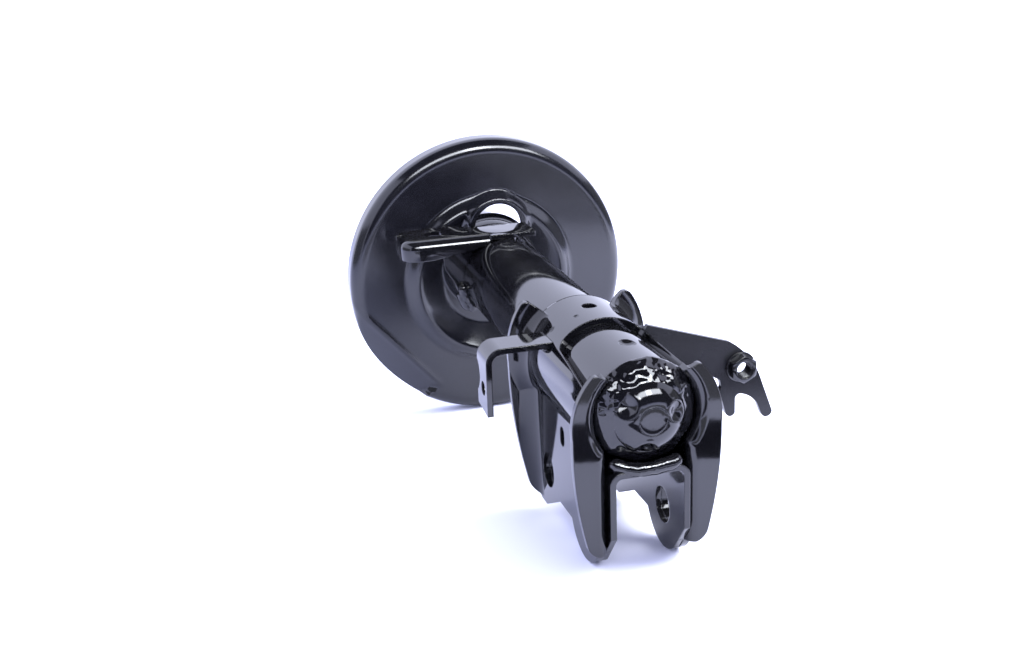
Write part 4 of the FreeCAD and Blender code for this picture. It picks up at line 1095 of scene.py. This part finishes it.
# %% [markdown]
# ## Weld nut
#
# The nut is a hexagon with turned corners: on a lathe the corners are cut at 30 degrees, which
# leaves a round face and curved edges on the flats. In polar form the hexagon's outline is a
# simple formula, so the nut is spun as well, and the turned cone limits it.

# %% Weld nut
NUT = (68.0, -2.3)      # the nut's middle, x and z
NUT_FACE = 37.0
NUT_FLAT = 6.3          # half the width across its flats
TURNED = 5.6            # radius of its turned round face
nut_rows = [("round", 4.35, NUT_FACE), ("round", 4.9, NUT_FACE), ("round", TURNED, NUT_FACE),
            ("hex", 0.0, NUT_FACE), ("hex", 0.0, 41.75), ("round", 7.5, 41.8),
            ("round", 7.78, 42.1), ("round", 7.8, 42.95), ("round", 7.7, 43.0),
            ("round", 4.68, 43.0), ("round", 4.68, 45.95), ("round", 4.35, 45.95),
            ("round", 4.35, NUT_FACE)]


def nut_point(row, angle):
    """A point of the nut; its hex rows take their radius from the hexagon's outline."""
    kind, r, y = row
    part = (math.degrees(angle) % 60.0) - 30.0
    if kind == "hex":
        r = NUT_FLAT / math.cos(math.radians(part))
        if y == NUT_FACE:
            y = y + (r - TURNED) * math.tan(math.radians(26.0))
    return (NUT[0] + r * math.sin(angle), y, NUT[1] + r * math.cos(angle))


nut_mesh = merged("weld_nut_turned", [
    mesh_of(spun(nut_rows, nut_point, 240), "nut"),
    thread(4.02, 0.6, 1.25, 6.9, 4.8, 37.1, *NUT)])
settle("weld_nut_turned", nut_mesh, gloss_black, "housing", ["weld_nut"], 28.0)

# %% [markdown]
# ## Piston rod
#
# The rod is ground and hard chromed. Its upper end is turned down to a stud with a rolled
# thread and a hexagon socket that holds the rod while the top nut is driven. The rod itself
# is spun from its profile, the socket is cut, and the thread ring is slid over the stud.

# %% Piston rod
ROD_R = 11.0
ROD_END = 534.0
STUD_FROM = 495.9       # the chrome ends and the stud begins
SOCKET_R = 3.464        # over the corners of the 6 mm hexagon
SOCKET_DEPTH = 6.0
rod_rows = [(0.0, 254.1), (5.0, 254.1), (6.0, 255.1), (6.0, 285.1), (10.8, 285.1),
            (ROD_R, 285.3), (ROD_R, 304.1), (10.0, 304.1), (10.0, 308.1)]
rod_rows += [(ROD_R, 308.1 + 7.0 * k) for k in range(27)]
rod_rows += [(ROD_R, 494.0), (10.7, 494.4), (9.2, STUD_FROM), (8.9, 496.0), (7.3, 496.0),
             (7.0, 496.3), (7.0, 508.8), (6.8, 509.1), (6.15, 509.8), (6.15, 533.65),
             (5.8, ROD_END), (0.0, ROD_END)]
rod_mesh = mesh_of(spun(rod_rows, round_y, 128), "rod")
rod_mesh = drilled(rod_mesh, [prism(*(circle(SOCKET_R, y, count=6) for y in (
    ROD_END - SOCKET_DEPTH, ROD_END + 1.0)), "socket")])
rod_mesh.transform(TO_ROW)
rod_thread = thread(6.98, 0.85, 1.5, 21.4, 5.9, 510.4)
rod_thread.transform(TO_ROW)
print("socket cut, rod faces:", len(rod_mesh.polygons))

# %% [markdown]
# One piece carries two finishes here: chrome on the ground rod and bare oiled steel on the
# rolled thread, because the chrome is kept off the stud.

# %% Rod with its stud
rod_piece = merged("piston_rod_ground", [rod_mesh, rod_thread])
settle("piston_rod_ground", rod_piece, rod_chrome, "rod", ["piston_rod"], 28.0,
       turned=True)
rod_piece.materials.append(thread_steel)
stud_from = TO_ROW @ Vector((0.0, STUD_FROM, 0.0))
for face in rod_piece.polygons:
    if (face.center - stud_from).dot(FORWARD) > 0.0:
        face.material_index = 1
print("stud faces:", sum(face.material_index for face in rod_piece.polygons))

# %% [markdown]
# ## Finishes for the solids that are kept
#
# The pressed brackets and the tube are right as solids, so they keep their meshes and only
# get their coats. The parts inside the tube get the metals, rubbers and plastic they are
# made of, because the model is also looked at with the tube cut open.

# %% Coats and metals on the kept solids
KEPT = {
    tube_black: ["outer_tube"],
    gloss_black: ["knuckle_bracket_outer", "knuckle_bracket_inner", "hose_bracket"],
    fork_black: ["fork_bracket"],
    drawn_steel: ["pressure_tube"],
    sintered_steel: ["piston", "rod_guide", "base_valve_body"],
    band_plastic: ["piston_band"],
    spring_steel: ["piston_check_plate", "piston_shims", "base_intake_plate",
                   "base_valve_shims"],
    turned_steel: ["piston_nut", "rebound_stop", "seal_washer", "base_valve_bolt",
                   "base_valve_nut"],
    bumper_rubber: ["rebound_bumper"],
    bronze: ["guide_bush"],
    seal_rubber: ["rod_seal"]}
for finish, names in KEPT.items():
    for name in names:
        slots = NODES[name].data.materials
        if not slots:
            slots.append(finish)
        for k in range(len(slots)):
            slots[k] = finish
print("solids with a finish of their own:", sum(len(names) for names in KEPT.values()))

# %% [markdown]
# ## Star springs
#
# Each valve plate is held down by a star spring of thin sheet. When the plate lifts, its arms
# flatten towards their hub. A rigid copy would be cut by the plate; here each spring is still
# a rigid copy of its solid, hung on its body, and only the share of its height that the
# plate's own travel would leave is worked out and printed.


# %% Star springs
SLACK = 0.02            # share of its height taken off the printed share that is left, as slack to the plate


def star_spring(node, name, plate, joint, body):
    """A copy of the spring's solid on its body; prints the share of its height its plate's travel
    leaves.
    """
    mesh = NODES[node].data.copy()
    mesh.name = name
    reach = [v.co.dot(FORWARD) for v in mesh.vertices]
    plate_reach = [v.co.dot(FORWARD) for v in NODES[plate].data.vertices]
    plate_middle = (min(plate_reach) + max(plate_reach)) / 2.0
    low, high = min(reach), max(reach)
    hub = high if plate_middle < (low + high) / 2.0 else low
    motion = next(j for j in frame["joints"] if j["name"] == joint)
    travel = max(abs(v) for v in motion["range_m"])
    left = max(0.1, 1.0 - travel / (high - low) - SLACK)
    middle = sum((v.co for v in mesh.vertices), Vector()) / len(mesh.vertices)
    anchor = middle + FORWARD * (hub - middle.dot(FORWARD))
    piece = stand(name, mesh)
    mesh.materials.clear()
    mesh.materials.append(spring_steel)
    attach(piece, body)
    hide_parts(node)
    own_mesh(piece)
    print(name, "height, in mm:", round((high - low) * 1000, 2), "kept:", round(left, 2))


star_spring("piston_check_spring", "piston_star_spring", "piston_check_plate",
            "piston_check_lift", "rod")
star_spring("base_intake_spring", "base_star_spring", "base_intake_plate", "base_intake_lift",
            "housing")
